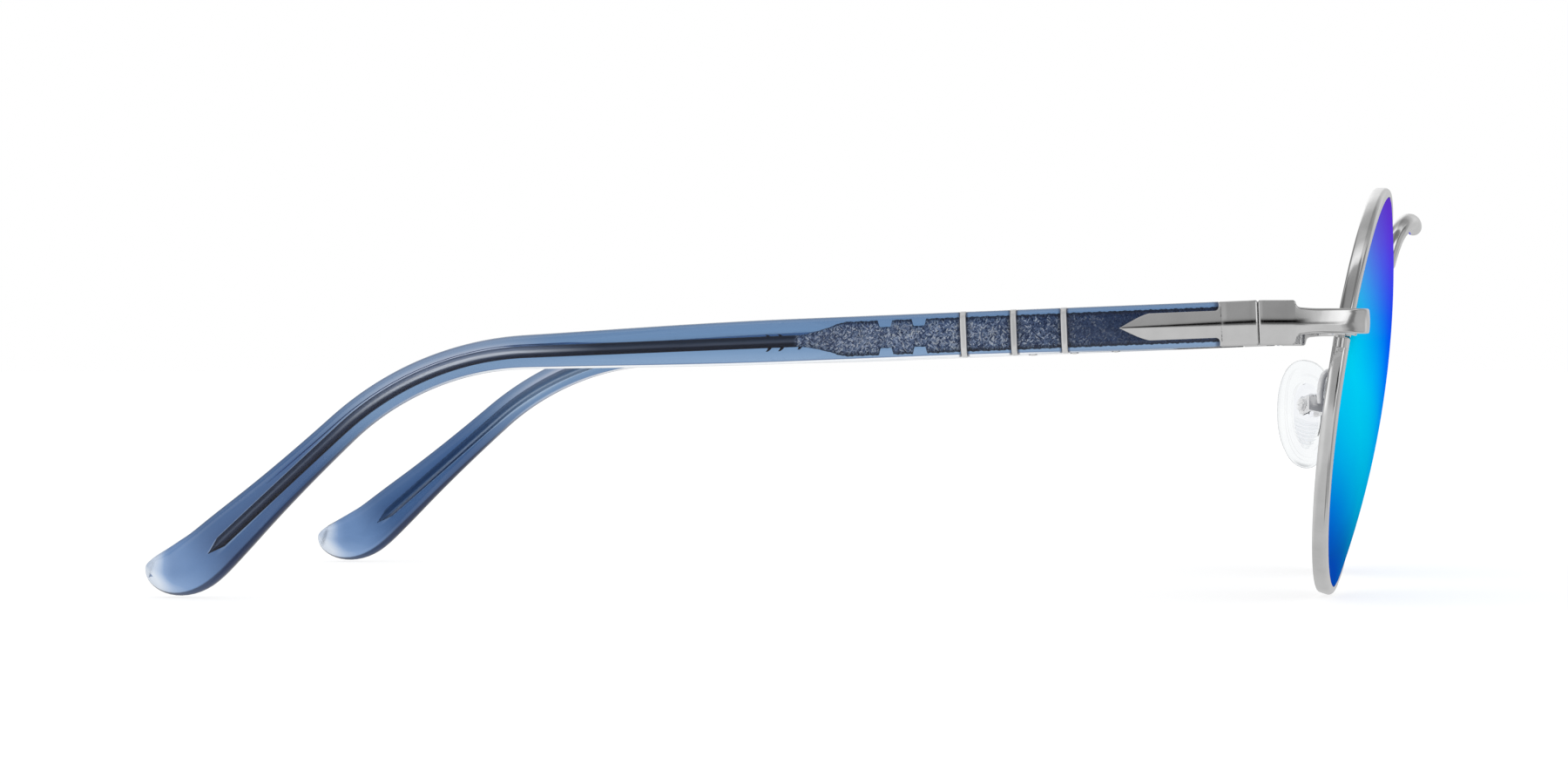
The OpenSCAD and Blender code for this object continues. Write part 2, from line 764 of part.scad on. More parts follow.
module spacers() {
    color("silver") at_hinge() for (k = [0:spacer_n - 1])
        sleeve(spacer_start + k * spacer_step - spacer_t / 2,
               spacer_start + k * spacer_step + spacer_t / 2, spacer_proud);
}

// The cap's tongue on the acetate: a low roof with a pointed end
module tongue() {
    shoulder = tongue_l - tongue_tip;
    edge_x = seat_clear + tongue_edge;
    intersection() {
        translate([hinge_in + temple_t, 0, 0]) rotate([-90, 0, 0]) linear_extrude(2 * tongue_l)
            polygon([
                [seat_clear, -tongue_h / 2],
                [edge_x, -tongue_h / 2],
                [ridge_h - seat_clear, 0],
                [edge_x, tongue_h / 2],
                [seat_clear, tongue_h / 2]
            ]);
        rotate([0, 90, 0]) linear_extrude(2 * temple_t) polygon([
            [-tongue_h, cap_l / 2],
            [-tongue_h, shoulder - tongue_tip / 2],
            [-tongue_h / 2, shoulder],
            [-tongue_h / 3, shoulder + tongue_tip / 2],
            [-tongue_edge, tongue_l],
            [tongue_edge, tongue_l],
            [tongue_h / 3, shoulder + tongue_tip / 2],
            [tongue_h / 2, shoulder],
            [tongue_h, shoulder - tongue_tip / 2],
            [tongue_h, cap_l / 2]
        ]);
    }
}

module hinge_cap() {
    color("silver") at_hinge() difference() {
        union() {
            translate([0, hinge_gap, 0]) roofed(cap_l - hinge_gap);
            tongue();
        }
        cylinder(h = 2 * temple_h, r = knuckle_r + side_clear, center = true);
        translate([hinge_in - leaf_t, 0, -middle_h / 2 - seat_clear])
            cube([2 * leaf_t + seat_clear, leaf_l + seat_clear, middle_h + 2 * seat_clear]);
    }
}

// ---- bridge ----

module bridge() {
    foot = from_lens(edge_point(180 - bridge_foot, rim_t + bridge_d / 2 + seat_clear, 0));
    half = [
        foot,
        foot + [-leg_in, -leg_forward, leg_l],
        [foot[0] * top_share, -bridge_reach, lens_z + bridge_rise + top_arch],
        [0, -bridge_reach, lens_z + bridge_rise]
    ];
    right = bezier_path(half, bridge_steps);
    left = [
        for (i = [1:bridge_steps])
            let (q = right[bridge_steps - i])
            [[-q[0][0], q[0][1], q[0][2]], [q[1][0], -q[1][1], -q[1][2]]]
    ];
    color("silver") translate([0, -mid_y, 0]) wire(concat(right, left), bridge_d, [0, 1, 0]);
}

// ---- nose pads ----

box_l = lug_t + 2 * side_clear + 2 * ear_t;

module pad_arm() {
    behind_rim = rim_d - rim_lip + pad_arm_d / 2 + seat_clear;
    start = from_lens(edge_point(180 + pad_arm_foot, rim_t / 2, behind_rim));
    end = from_pad([lug_r + ear_t + pad_arm_d / 2 + seat_clear, 0, 0]);
    curve = [
        start,
        start + [pad_arm_bow, pad_arm_back, pad_arm_rise],
        end + [pad_arm_bow, 0, pad_arm_rise],
        end
    ];
    color("silver") wire(bezier_path(curve, pad_arm_steps), pad_arm_d, [1, 0, 0]);
}

module pad_box() {
    color("silver") at_pad() difference() {
        translate([-lug_r, -box_l / 2, -lug_r]) cube([2 * lug_r + ear_t, box_l, 2 * lug_r]);
        translate([-2 * lug_r, -box_l / 2 + ear_t, -2 * lug_r])
            cube([3 * lug_r + side_clear, box_l - 2 * ear_t, 4 * lug_r]);
        rotate([90, 0, 0]) cylinder(h = 2 * box_l, r = pad_screw_r + turn_clear, center = true);
    }
}

module pad_screw() {
    head_r = 1.6 * pad_screw_r;
    color("lightgray") at_pad() rotate([-90, 0, 0]) difference() {
        union() {
            translate([0, 0, -box_l / 2]) cylinder(h = box_l + ear_t, r = pad_screw_r);
            translate([0, 0, box_l / 2 + seat_clear]) cylinder(h = ear_t, r = head_r);
        }
        translate([0, 0, box_l / 2 + ear_t]) cube([3 * head_r, ear_t / 2, ear_t / 2], center = true);
    }
}

// The pad's inner face is part of a ball
pad_crown_r = 2 * pad_h;

function pad_oval(w, h) = [
    for (i = [0:pad_sides - 1])
        let (a = i * 360 / pad_sides,
             c = sign(cos(a)) * pow(abs(cos(a)), pad_round))
        [w / 2 * c * (1 + pad_fullness * sin(a)), h / 2 * sin(a)]
];

// An oval plate square to the pad's face, from a distance in front of the screw
module pad_plate(w, h, from, t) {
    translate([-from, -pad_forward, -pad_low]) rotate([90, 0, 0]) rotate([0, -90, 0])
        linear_extrude(t) polygon(pad_oval(w, h));
}

module pad_core() {
    color("whitesmoke", 0.6) at_pad() difference() {
        union() {
            pad_plate(plate_w, plate_h, pad_reach, plate_t);
            rotate([90, 0, 0]) cylinder(h = lug_t, r = lug_r, center = true);
            translate([-pad_reach - plate_t / 2, -lug_t / 2, -lug_r])
                cube([pad_reach + plate_t / 2, lug_t, 2 * lug_r]);
        }
        rotate([90, 0, 0]) cylinder(h = 2 * lug_t, r = pad_screw_r + turn_clear, center = true);
    }
}

module nose_pad() {
    color("whitesmoke", 0.6) at_pad() difference() {
        intersection() {
            pad_plate(pad_w, pad_h, pad_reach, pad_t);
            translate([pad_crown_r - pad_reach - pad_t, -pad_forward, -pad_low])
                sphere(r = pad_crown_r, $fn = ball_sides);
        }
        pad_plate(plate_w + 2 * seat_clear, plate_h + 2 * seat_clear,
                  pad_reach - plate_t, 2 * plate_t + seat_clear);
    }
}

bridge();
on_right() lens();  // lens_right
on_right() rim();  // rim_right
on_right() endpiece();  // endpiece_right
on_right() rim_lock();  // rim_lock_right
on_right() rim_screw();  // rim_screw_right
on_right() front_leaf();  // front_leaf_right
on_right() hinge_screw();  // hinge_screw_right
on_right() pad_arm();  // pad_arm_right
on_right() pad_box();  // pad_box_right
on_right() pad_screw();  // pad_screw_right
on_right() pad_core();  // pad_core_right
on_right() nose_pad();  // nose_pad_right
on_right() hinge_cap();  // hinge_cap_right
on_right() temple_leaf();  // temple_leaf_right
on_right() core_wire();  // core_wire_right
on_right() front_sleeve();  // front_sleeve_right
on_right() middle_sleeves();  // middle_sleeves_right
on_right() spacers();  // spacers_right
on_right() temple_arm();  // temple_arm_right
on_left() lens();  // lens_left
on_left() rim();  // rim_left
on_left() endpiece();  // endpiece_left
on_left() rim_lock();  // rim_lock_left
on_left() rim_screw();  // rim_screw_left
on_left() front_leaf();  // front_leaf_left
on_left() hinge_screw();  // hinge_screw_left
on_left() pad_arm();  // pad_arm_left
on_left() pad_box();  // pad_box_left
on_left() pad_screw();  // pad_screw_left
on_left() pad_core();  // pad_core_left
on_left() nose_pad();  // nose_pad_left
on_left() hinge_cap();  // hinge_cap_left
on_left() temple_leaf();  // temple_leaf_left
on_left() core_wire();  // core_wire_left
on_left() front_sleeve();  // front_sleeve_left
on_left() middle_sleeves();  // middle_sleeves_left
on_left() spacers();  // spacers_left
on_left() temple_arm();  // temple_arm_left
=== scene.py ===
from math import asin, copysign, cos, degrees, pi, radians, sin, sqrt, tan

import bmesh
import bpy
from mathutils import Matrix, Vector


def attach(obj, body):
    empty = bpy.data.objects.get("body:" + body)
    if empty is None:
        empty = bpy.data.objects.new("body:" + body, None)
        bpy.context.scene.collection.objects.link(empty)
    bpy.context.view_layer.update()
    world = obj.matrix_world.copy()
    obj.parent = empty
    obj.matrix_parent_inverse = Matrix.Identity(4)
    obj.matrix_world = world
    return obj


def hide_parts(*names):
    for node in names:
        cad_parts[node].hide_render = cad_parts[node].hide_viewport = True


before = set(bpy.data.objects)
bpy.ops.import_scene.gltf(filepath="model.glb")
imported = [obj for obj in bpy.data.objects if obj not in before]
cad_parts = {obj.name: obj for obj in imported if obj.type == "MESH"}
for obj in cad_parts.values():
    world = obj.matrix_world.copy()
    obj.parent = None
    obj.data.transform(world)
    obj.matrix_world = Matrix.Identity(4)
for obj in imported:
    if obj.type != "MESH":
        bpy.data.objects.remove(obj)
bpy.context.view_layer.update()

scene = bpy.context.scene

# ---- sizes, in mm and degrees
# The same values as the part's source. The part is drawn for the left side, x outward,
# y back from the lenses and z up, then mirrored for the right side.
MM = 0.001
MID_Y = 69.6
LENS_W, LENS_H, LENS_T, BASE_R = 53.4, 48.7, 1.5, 116
LOWER_FULL, TILT, WRAP = 0.01, 8, 4.3
LENS_X, LENS_Z, RING_Y = 36.25, 25.4204, 3.593
RIM_T, RIM_LIP, RIM_D = 1.25, 0.15, 1.8
RIM_CUT, RIM_CUT_Z = 0.3, 6.7
LOCK_R, LOCK_TOP, LOCK_BACK, LOCK_SCREW = 0.9, 2.4, 0.3, 0.4
BRIDGE_D, BRIDGE_REACH, BRIDGE_RISE = 2.2, 7.76, 21.1
BRIDGE_FOOT, LEG_L, LEG_IN, LEG_FORWARD, TOP_SHARE, TOP_ARCH = 35, 7.6, 0.9, 1.75, 0.46, 0.8
ARM_FRONT, ARM_T, ARM_H, ARM_RISE = 1.94, 1.9, 3, 0.2
HINGE = Vector((65.2, 11.15, 33.7204))
DROP = 2.26
HINGE_IN, TEMPLE_T, TIP_T, RIDGE = 0.7, 3.4, 3, 0.5
KNUCKLE_R, KNUCKLE_H, MIDDLE_H, LEAF_L, LEAF_T, GAP = 1.45, 5, 1.7, 3.4, 0.8, 0.06
BLOCK_L, CAP_L, TONGUE_L, TONGUE_TIP, TONGUE_H = 4.6, 4.6, 16.4, 3.6, 3.2
TEMPLE_H, WAIST_H, PADDLE_H, PADDLE_L, EDGE_R = 5.35, 3.86, 7.44, 7.7, 1.2
THIN_BEFORE, WAIST_AFTER, FLARE = 32.5, 12.3, 2.8
BEND_START, BEND_R, BEND_A, DROP_L, TIP_R = 88.4, 37, 39.5, 24, 6.8
TOE_IN, MID_X, FLEX_END, TEMPLE_L = 13, 2.4, 35.27, 145.931
SPACERS, SPACER_T, SPACER_PROUD = (22.95, 28.93, 34.91), 0.72, 0.06
CORE_H, CORE_T, CORE_D, CORE_FLAT, CORE_TAPER = 3.6, 1, 1.4, 48.8, 6.1
CORE_POINT, CORE_END, NOTCH_DEPTH, NOTCH_L, NOTCH_STEP, NOTCH_END = 2.2, 137, 0.55, 1.7, 4.05, 3.7
PAD_H, PAD_W, PAD_T, PAD_REACH, PAD_FORWARD, PAD_LOW, PAD_FULL = 14.4, 7.6, 1.7, 2.1, 0.6, 0.3, 0.1
PAD_AT, PAD_SPLAY, PAD_LEAN, PAD_PITCH, PAD_ROUND = Vector((12, 5.3, 23.1704)), 30, 20, 12, 0.85
LUG_R, EAR_T, PAD_ARM_D, ARM_FOOT, ARM_ARCH, ARM_BACK, ARM_BOW = 0.95, 0.5, 0.9, 3, 4.8, 3.2, 0.7
SEAT = 0.04
CURL_EASE, CURL_TRIM, FLARE_END = 2.2, 0.988, 0.8


# ---- the part's frames
def turn(axis, angle):
    return Matrix.Rotation(radians(angle), 3, axis)


LENS_TURN = turn("Z", WRAP) @ turn("X", TILT)
PAD_TURN = turn("X", PAD_PITCH) @ turn("Z", -PAD_SPLAY) @ turn("Y", -PAD_LEAN)
TEMPLE_TURN = turn("X", -DROP)


def from_lens(p):
    return Vector((LENS_X, 0, LENS_Z)) + LENS_TURN @ (Vector(p) - Vector((0, RING_Y, 0)))


def from_pad(p):
    return PAD_AT + PAD_TURN @ Vector(p)


def from_hinge(p):
    return HINGE + TEMPLE_TURN @ Vector(p)


def lens_point(a):
    a = radians(a)
    return LENS_W / 2 * cos(a) * (1 - LOWER_FULL * sin(a)), LENS_H / 2 * sin(a)


def lens_normal(a):
    a = radians(a)
    dx = -LENS_W / 2 * (LOWER_FULL * cos(2 * a) + sin(a))
    dz = LENS_H / 2 * cos(a)
    return Vector((dz, 0, -dx)).normalized()


def lens_axis(px, pz):
    """How far the front face lies back at a place, and its direction inwards."""
    s = BASE_R - sqrt(BASE_R * BASE_R - px * px - pz * pz)
    return s, Vector((-px, BASE_R - s, -pz)) / BASE_R


def edge_point(a, out, back):
    """A place near the lens's edge, at an angle, along the lens and behind its front face."""
    px, pz = lens_point(a)
    s, axis = lens_axis(px, pz)
    flat = lens_normal(a)
    along = (flat - flat.dot(axis) * axis).normalized()
    return Vector((px, s, pz)) + out * along + back * axis


def smooth(u):
    u = max(0, min(1, u))
    return u * u * (3 - 2 * u)


def mix(a, b, t):
    return a + (b - a) * t


# ---- mesh helpers
def make_mesh(solid, sharp=40, attributes=None):
    """A smooth mesh from points in mm and faces, sharp where faces meet at more than an angle."""
    points, faces = solid
    mesh = bpy.data.meshes.new("mesh")
    mesh.from_pydata([(p[0] * MM, (p[1] - MID_Y) * MM, p[2] * MM) for p in points], [], faces)
    for key, values in (attributes or {}).items():
        layer = mesh.attributes.new(key, "FLOAT", "POINT")
        layer.data.foreach_set("value", values)
    bm = bmesh.new()
    bm.from_mesh(mesh)
    bmesh.ops.recalc_face_normals(bm, faces=bm.faces)
    bm.to_mesh(mesh)
    bm.free()
    mesh.shade_smooth()
    mesh.set_sharp_from_angle(angle=radians(sharp))
    return mesh


def loft(rings, closed=False):
    """Points and faces of a skin over rings with the same number of points."""
    n, m = len(rings[0]), len(rings)
    points = [Vector(p) for ring in rings for p in ring]
    faces = []
    for i in range(m if closed else m - 1):
        a, b = i * n, (i + 1) % m * n
        faces += [(a + j, a + (j + 1) % n, b + (j + 1) % n, b + j) for j in range(n)]
    if not closed:
        for start in (0, (m - 1) * n):
            points.append(sum(points[start:start + n], Vector()) / n)
            faces += [(start + j, start + (j + 1) % n, len(points) - 1) for j in range(n)]
    return points, faces


def join(*solids):
    points, faces = [], []
    for p, f in solids:
        faces += [tuple(k + len(points) for k in face) for face in f]
        points += p
    return points, faces


def shares(steps, first=1):
    """The shares of a whole that its steps reach. With first=0 the start is there too."""
    return [k / steps for k in range(first, steps + 1)]


def arc(x, z, r, start, end, steps=5):
    """Points around a centre from one angle to another, in degrees."""
    angles = [radians(mix(start, end, t)) for t in shares(steps, 0)]
    return [(x + r * cos(a), z + r * sin(a)) for a in angles]


def circle(r, sides):
    return arc(0, 0, r, 0, 360, sides)[:-1]


def rounded(w, h, r, n=6):
    """The outline of a rectangle with round corners."""
    r = min(r, 0.499 * w, 0.499 * h)
    x, z = w / 2 - r, h / 2 - r
    return (arc(x, z, r, 0, 90, n) + arc(-x, z, r, 90, 180, n) + arc(-x, -z, r, 180, 270, n)
            + arc(x, -z, r, 270, 360, n))


def bezier(p, u):
    v = 1 - u
    return v ** 3 * p[0] + 3 * v * v * u * p[1] + 3 * v * u * u * p[2] + u ** 3 * p[3]


def tube(path, radius, sides, aside=Vector((1, 0, 0))):
    """A round wire along a path. radius is a function of the share of the length."""
    rings = []
    for i, p in enumerate(path):
        ahead = (path[min(i + 1, len(path) - 1)] - path[max(i - 1, 0)]).normalized()
        u = (aside - aside.dot(ahead) * ahead).normalized()
        v = ahead.cross(u)
        rings.append([p + x * u + y * v for x, y in circle(radius(i / (len(path) - 1)), sides)])
    return loft(rings)


def add_object(name, data):
    obj = bpy.data.objects.new(name, data)
    scene.collection.objects.link(obj)
    return obj


def both(base, mesh, body, materials, slot, *nodes):
    """Puts a mesh made for the left side on both sides."""
    mesh.name = base
    for material in materials:
        mesh.materials.append(material)
    for side in ("left", "right"):
        data = mesh
        if side == "right":
            data = mesh.copy()
            data.transform(Matrix.Scale(-1, 4, (1, 0, 0)))
            data.flip_normals()
        obj = add_object(f"{base}_{side}", data)
        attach(obj, body.format(side))
        if nodes:
            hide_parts(*[node.format(side) for node in nodes])


def cut(mesh, *cutters):
    """The mesh with the cutters' volume taken away."""
    body = add_object("cut_body", mesh)
    helpers = [add_object("cutter", make_mesh(cutter)) for cutter in cutters]
    for helper in helpers:
        modifier = body.modifiers.new("cut", "BOOLEAN")
        modifier.operation, modifier.object, modifier.solver = "DIFFERENCE", helper, "EXACT"
    graph = bpy.context.evaluated_depsgraph_get()
    result = bpy.data.meshes.new_from_object(body.evaluated_get(graph))
    for helper in [body] + helpers:
        bpy.data.objects.remove(helper)
    result.shade_smooth()
    result.set_sharp_from_angle(angle=radians(35))
    return result


# ---- material helpers
class Nodes:
    """A short way to write a node tree."""

    def __init__(self, tree):
        self.tree = tree
        self.shader = tree.nodes.get("Principled BSDF")

    def add(self, kind, values=None, **settings):
        node = self.tree.nodes.new(kind)
        for key, value in settings.items():
            setattr(node, key, value)
        for key, value in (values or {}).items():
            self.put(value, node.inputs[key])
        return node

    def put(self, value, socket):
        if isinstance(value, bpy.types.NodeSocket):
            self.tree.links.new(value, socket)
        else:
            socket.default_value = value

    def give(self, name, value):
        """Puts a value or a socket on the material's shader."""
        self.put(value, self.shader.inputs[name])

    def math(self, operation, *values, clamp=False):
        values = dict(enumerate(values))
        return self.add("ShaderNodeMath", values, operation=operation, use_clamp=clamp).outputs[0]

    def plus(self, a, b, clamp=False):
        return self.math("ADD", a, b, clamp=clamp)

    def minus(self, a, b):
        return self.math("SUBTRACT", a, b)

    def times(self, a, *others, clamp=False):
        for b in others:
            a = self.math("MULTIPLY", a, b, clamp=clamp)
        return a

    def scaled(self, a, b, c, clamp=False):
        return self.math("MULTIPLY_ADD", a, b, c, clamp=clamp)

    def most(self, a, b):
        return self.math("MAXIMUM", a, b)

    def size(self, a):
        return self.math("ABSOLUTE", a)

    def span(self, value, low, high, to_low=0, to_high=1, kind="SMOOTHSTEP"):
        values = dict(enumerate((value, low, high, to_low, to_high)))
        return self.add("ShaderNodeMapRange", values, interpolation_type=kind).outputs[0]

    def band(self, value, rise, top, end, fall):
        """1 between top and end, and 0 below rise and above fall."""
        return self.times(self.span(value, rise, top), self.span(value, fall, end))

    def share(self, value, low=-1, high=1):
        """A value between two limits as a share from 0 to 1."""
        return self.span(value, low, high, kind="LINEAR")

    def ramp(self, value, stops, kind="LINEAR"):
        """Each stop is a place with one linear grey level, or with a screen colour from 0 to 255."""
        node = self.add("ShaderNodeValToRGB", {"Fac": value})
        node.color_ramp.interpolation = kind
        elements = node.color_ramp.elements
        while len(elements) > 1:
            elements.remove(elements[-1])
        for i, (at, *colour) in enumerate(stops):
            element = elements[0] if i == 0 else elements.new(at)
            element.position = at
            element.color = rgb(*colour) if len(colour) == 3 else (*colour * 3, 1)
        return node.outputs["Color"]

    def blend(self, share, a, b, kind="MIX"):
        values = {0: share, 6: a, 7: b}
        return self.add("ShaderNodeMix", values, data_type="RGBA", blend_type=kind).outputs[2]

    def noise(self, vector, scale, detail=2):
        values = {"Vector": vector, "Scale": scale, "Detail": detail}
        return self.add("ShaderNodeTexNoise", values).outputs["Fac"]

    def place(self):
        return self.add("ShaderNodeTexCoord").outputs["Object"]

    def rough(self, scale, low, high):
        """Gives the material a slightly uneven roughness."""
        self.give("Roughness", self.span(self.noise(self.place(), scale), 0.3, 0.7, low, high))

    def facing(self):
        return self.add("ShaderNodeLayerWeight", {"Blend": 0.5}).outputs["Facing"]

    def vector(self, *parts):
        return self.add("ShaderNodeCombineXYZ", dict(enumerate(parts))).outputs[0]

    def split(self, vector):
        return self.add("ShaderNodeSeparateXYZ", {0: vector}).outputs

    def value(self, name):
        return self.add("ShaderNodeAttribute", attribute_name=name).outputs["Fac"]

    def bump(self, height, distance, strength):
        values = {"Height": height, "Distance": distance, "Strength": strength}
        return self.add("ShaderNodeBump", values).outputs["Normal"]


def rgb(r, g, b):
    """A colour from 0 to 255, as it looks on the screen, made linear."""
    linear = [c / 255 / 12.92 if c <= 10 else ((c / 255 + 0.055) / 1.055) ** 2.4 for c in (r, g, b)]
    return (*linear, 1)


def material(name, values):
    mat = bpy.data.materials.new(name)
    mat.use_nodes = True
    n = Nodes(mat.node_tree)
    for key, value in values.items():
        n.give(key, value)
    return mat, n


def polished(name, light, rough=(0.07, 0.13), metallic=1):
    """A polished metal: faint cloudiness in its roughness and a very fine drawn texture."""
    mat, n = material(name, {"Metallic": metallic})
    place = n.place()
    cloud = n.noise(place, 350, 3)
    fine = n.noise(place, 5200)
    n.give("Base Color", n.ramp(cloud, [(0.3, 0.9 * light), (0.7, light)]))
    n.give("Roughness", n.span(n.plus(n.times(cloud, 0.7), n.times(fine, 0.3)), 0.3, 0.7, *rough))
    n.give("Normal", n.bump(fine, 0.000003, 0.35))
    return mat


frame_metal = polished("polished_frame_metal", 0.83)
spacer_metal = polished("spacer_metal", 0.78, (0.3, 0.42), metallic=0.55)
screw_steel = polished("screw_steel", 0.72, (0.12, 0.22))
# painted light: the pad pieces take a lighter, mostly unmetallic copy of the frame's metal, so they look
# bright though they sit in shade
pad_metal = polished("pad_metal", 0.97, (0.12, 0.2), metallic=0.2)
hinge_steel = polished("hinge_steel", 0.82, (0.2, 0.32), metallic=0.6)

rear_notch = CORE_FLAT - NOTCH_END - NOTCH_L
front_notch = rear_notch - NOTCH_STEP


# ---- acetate
def acetate_material():
    """Clear blue acetate, darker in the drop, with painted light and shade on its edges and painted light
    in the paddle.
    """
    mat, n = material("blue_acetate", {"Transmission Weight": 1, "IOR": 1.49})
    place = n.place()
    # along is the length from the hinge in mm; across and outward go from -1 to 1 over a section
    across, along, outward = n.value("across"), n.value("along"), n.value("outward")
    streak = n.vector(n.times(along, 0.05), n.times(across, 2), n.times(n.split(place)[0], 500))
    grain = n.noise(streak, 1, 3)
    height = n.share(across)
    # colour over a section's height, lighter towards its lower side, with painted light and shade at its
    # top and lower edges
    body = n.ramp(height, [
        (0, 160, 168, 188), (0.02, 142, 166, 196), (0.12, 138, 167, 201), (0.28, 124, 156, 193),
        (0.42, 114, 148, 187), (0.6, 104, 134, 168), (0.75, 107, 141, 181), (0.9, 104, 136, 176),
        (0.97, 108, 134, 168), (1, 110, 122, 146)])
    bend = n.ramp(height, [
        (0, 134, 150, 180), (0.05, 116, 144, 182), (0.25, 122, 153, 188), (0.45, 112, 144, 182),
        (0.6, 126, 152, 182), (0.78, 120, 146, 178), (0.92, 94, 120, 156), (1, 84, 100, 132)])
    drop = n.ramp(height, [
        (0, 40, 46, 68), (0.06, 50, 66, 98), (0.14, 64, 90, 132), (0.4, 64, 96, 142),
        (0.62, 66, 94, 138), (0.85, 74, 104, 148), (0.96, 86, 112, 150), (1, 80, 94, 120)])
    colour = n.blend(n.span(along, 80, 98), body, bend)
    colour = n.blend(n.span(along, 106, 122), colour, drop)
    # a painted reflection, pale, over the wire in the bend
    painted_wire_reflection = n.times(n.band(across, 0.1, 0.2, 0.36, 0.66), n.band(along, 84, 95, 102, 116), 0.55)
    # painted light that pools in the paddle, most of all in its lower end, and lighter on the inner face
    # there
    pool = n.span(along, 134.5, 141, 0, 0.9)
    painted_glow = n.plus(n.span(along, 142, 145.2, 0, 0.85),
                  n.times(n.span(along, 137.5, 144, 0, 0.66), n.span(across, 0, -0.9)), clamp=True)
    inner = n.times(n.span(along, 133, 143, 0, 0.25), n.span(outward, 0, -0.2))
    grain = n.span(grain, 0.35, 0.7, 0, 0.12, "LINEAR")
    # painted light and shade on the lower edge: a pale painted highlight on the straight part with a thin
    # painted line of shade above it, and a dark painted crescent of shade along the drop and the paddle
    edge = n.minus(n.span(along, 14, 40, -0.93, -0.87), across)
    straight = n.band(along, 12, 30, 88, 112)
    painted_edge_shade_line = n.times(n.span(edge, -0.05, -0.01), straight, 0.7)
    pale = n.times(n.span(edge, 0, 0.03), straight)
    reach = n.times(n.span(along, 104, 136, 0.08, 0.26), n.span(along, 145.2, 138, 0.4, 1))
    crescent = n.minus(n.minus(reach, 1), across)
    dark = n.times(n.span(crescent, 0, 0.07), n.span(along, 98, 122), 0.96)
    # and a painted dark line of shade along the top and lower edges of the drop and the paddle
    line = n.times(n.span(n.size(outward), 0.3, 0.1), n.span(along, 100, 128, 0.2, 0.75),
                   n.span(along, TEMPLE_L - 0.1, TEMPLE_L - 0.4))
    # the clear outer face over the core
    window = n.times(n.minus(n.times(n.value("core"), 0.95), n.size(across)), 30, clamp=True)
    window = n.times(window, n.span(outward, 0.1, 0.3), n.span(along, 137.5, 135.5, 0, 0.88))
    # a painted highlight: a bright line on the inner face below the wire
    painted_inner_highlight = n.times(n.band(across, -0.26, -0.2, -0.16, -0.1), n.span(outward, -0.1, -0.3),
                    n.band(along, 94, 104, 133, 137), 0.7)
    # painted shade: dark ends beside the cap and the spacers
    ends = n.span(along, CAP_L + 0.75, CAP_L + 0.35)
    for s in SPACERS:
        ends = n.most(ends, n.span(n.size(n.minus(along, s)), 0.72, 0.5))
    layers = ((painted_wire_reflection, 214, 214, 226), (pool, 96, 132, 182), (n.times(painted_glow, 1.5, clamp=True), 140, 172, 214),
              (n.scaled(painted_glow, 1.5, -0.5, clamp=True), 222, 230, 240), (inner, 206, 218, 236),
              (grain, 84, 112, 154), (painted_edge_shade_line, 84, 96, 130), (pale, 253, 254, 255),
              (n.most(dark, line), 16, 20, 40), (window, 232, 238, 248), (painted_inner_highlight, 226, 232, 242),
              (n.times(ends, 0.8), 38, 48, 74))
    for share, *shade in layers:
        colour = n.blend(share, colour, rgb(*shade))
    n.give("Base Color", colour)
    # the painted edge highlight and the painted glow at the very tip are made mostly opaque
    opaque_share = n.most(pale, n.span(along, 144.7, 145.4))
    n.give("Transmission Weight", n.scaled(opaque_share, -0.85, 1))
    n.rough(600, 0.015, 0.04)
    n.give("Normal", n.bump(n.noise(place, 160, 1), 0.00001, 0.2))
    return mat


acetate = acetate_material()


# ---- temple
def curled(d):
    """How much of the length past the straight drop has curled: the curl eases in at its start."""
    if abs(d) < CURL_EASE:
        return (d + CURL_EASE) ** 2 / (4 * CURL_EASE)
    return max(0, d)


def temple_point(s):
    """y, z and fall, in degrees, of the temple's middle line at a length from the hinge."""
    bend = radians(BEND_A)
    drop_start = BEND_START + BEND_R * bend
    curl_start = drop_start + DROP_L
    if s <= BEND_START:
        return s, 0, 0
    f = min((s - BEND_START) / BEND_R, bend)
    y, z = BEND_START + BEND_R * sin(f), -BEND_R * (1 - cos(f))
    if s <= drop_start:
        return y, z, degrees(f)
    d = min(s, curl_start - CURL_EASE) - drop_start
    y, z = y + d * cos(bend), z - d * sin(bend)
    if s <= curl_start - CURL_EASE:
        return y, z, BEND_A
    steps = 24
    step = (s - curl_start + CURL_EASE) / steps
    for k in range(steps):
        f = bend - curled(step * (k + 0.5) - CURL_EASE) / TIP_R
        y += CURL_TRIM * step * cos(f)
        z -= CURL_TRIM * step * sin(f)
    return y, z, degrees(bend - curled(s - curl_start) / TIP_R)


TIP_END_Y = temple_point(TEMPLE_L)[0]
WAIST_S = BEND_START + WAIST_AFTER
PADDLE_S = TEMPLE_L - PADDLE_L


def toe(y):
    return TOE_IN * (max(0, y - FLEX_END) / (TIP_END_Y - FLEX_END)) ** 1.5


def temple_height(s):
    if s < WAIST_S:
        start = BEND_START - THIN_BEFORE
        return mix(TEMPLE_H, WAIST_H, smooth((s - start) / (WAIST_S - start)))
    share = (s - WAIST_S) / (PADDLE_S - WAIST_S)
    grown, slope = FLARE_END ** FLARE, FLARE * FLARE_END ** (FLARE - 1)
    if share < FLARE_END:
        return mix(WAIST_H, PADDLE_H, share ** FLARE)
    # past this share the growth fades out instead of stopping at once
    fade = 2 * (1 - grown) / slope
    d = min(share - FLARE_END, fade)
    return mix(WAIST_H, PADDLE_H, grown + slope * (d - d * d / (2 * fade)))


def temple_width(s):
    return mix(TEMPLE_T, TIP_T, smooth((s - FLEX_END) / (TEMPLE_L - FLEX_END)))


def tip_scale(s):
    return 1 if s < PADDLE_S else sqrt(max(0, 1 - ((s - PADDLE_S) / PADDLE_L) ** 2))


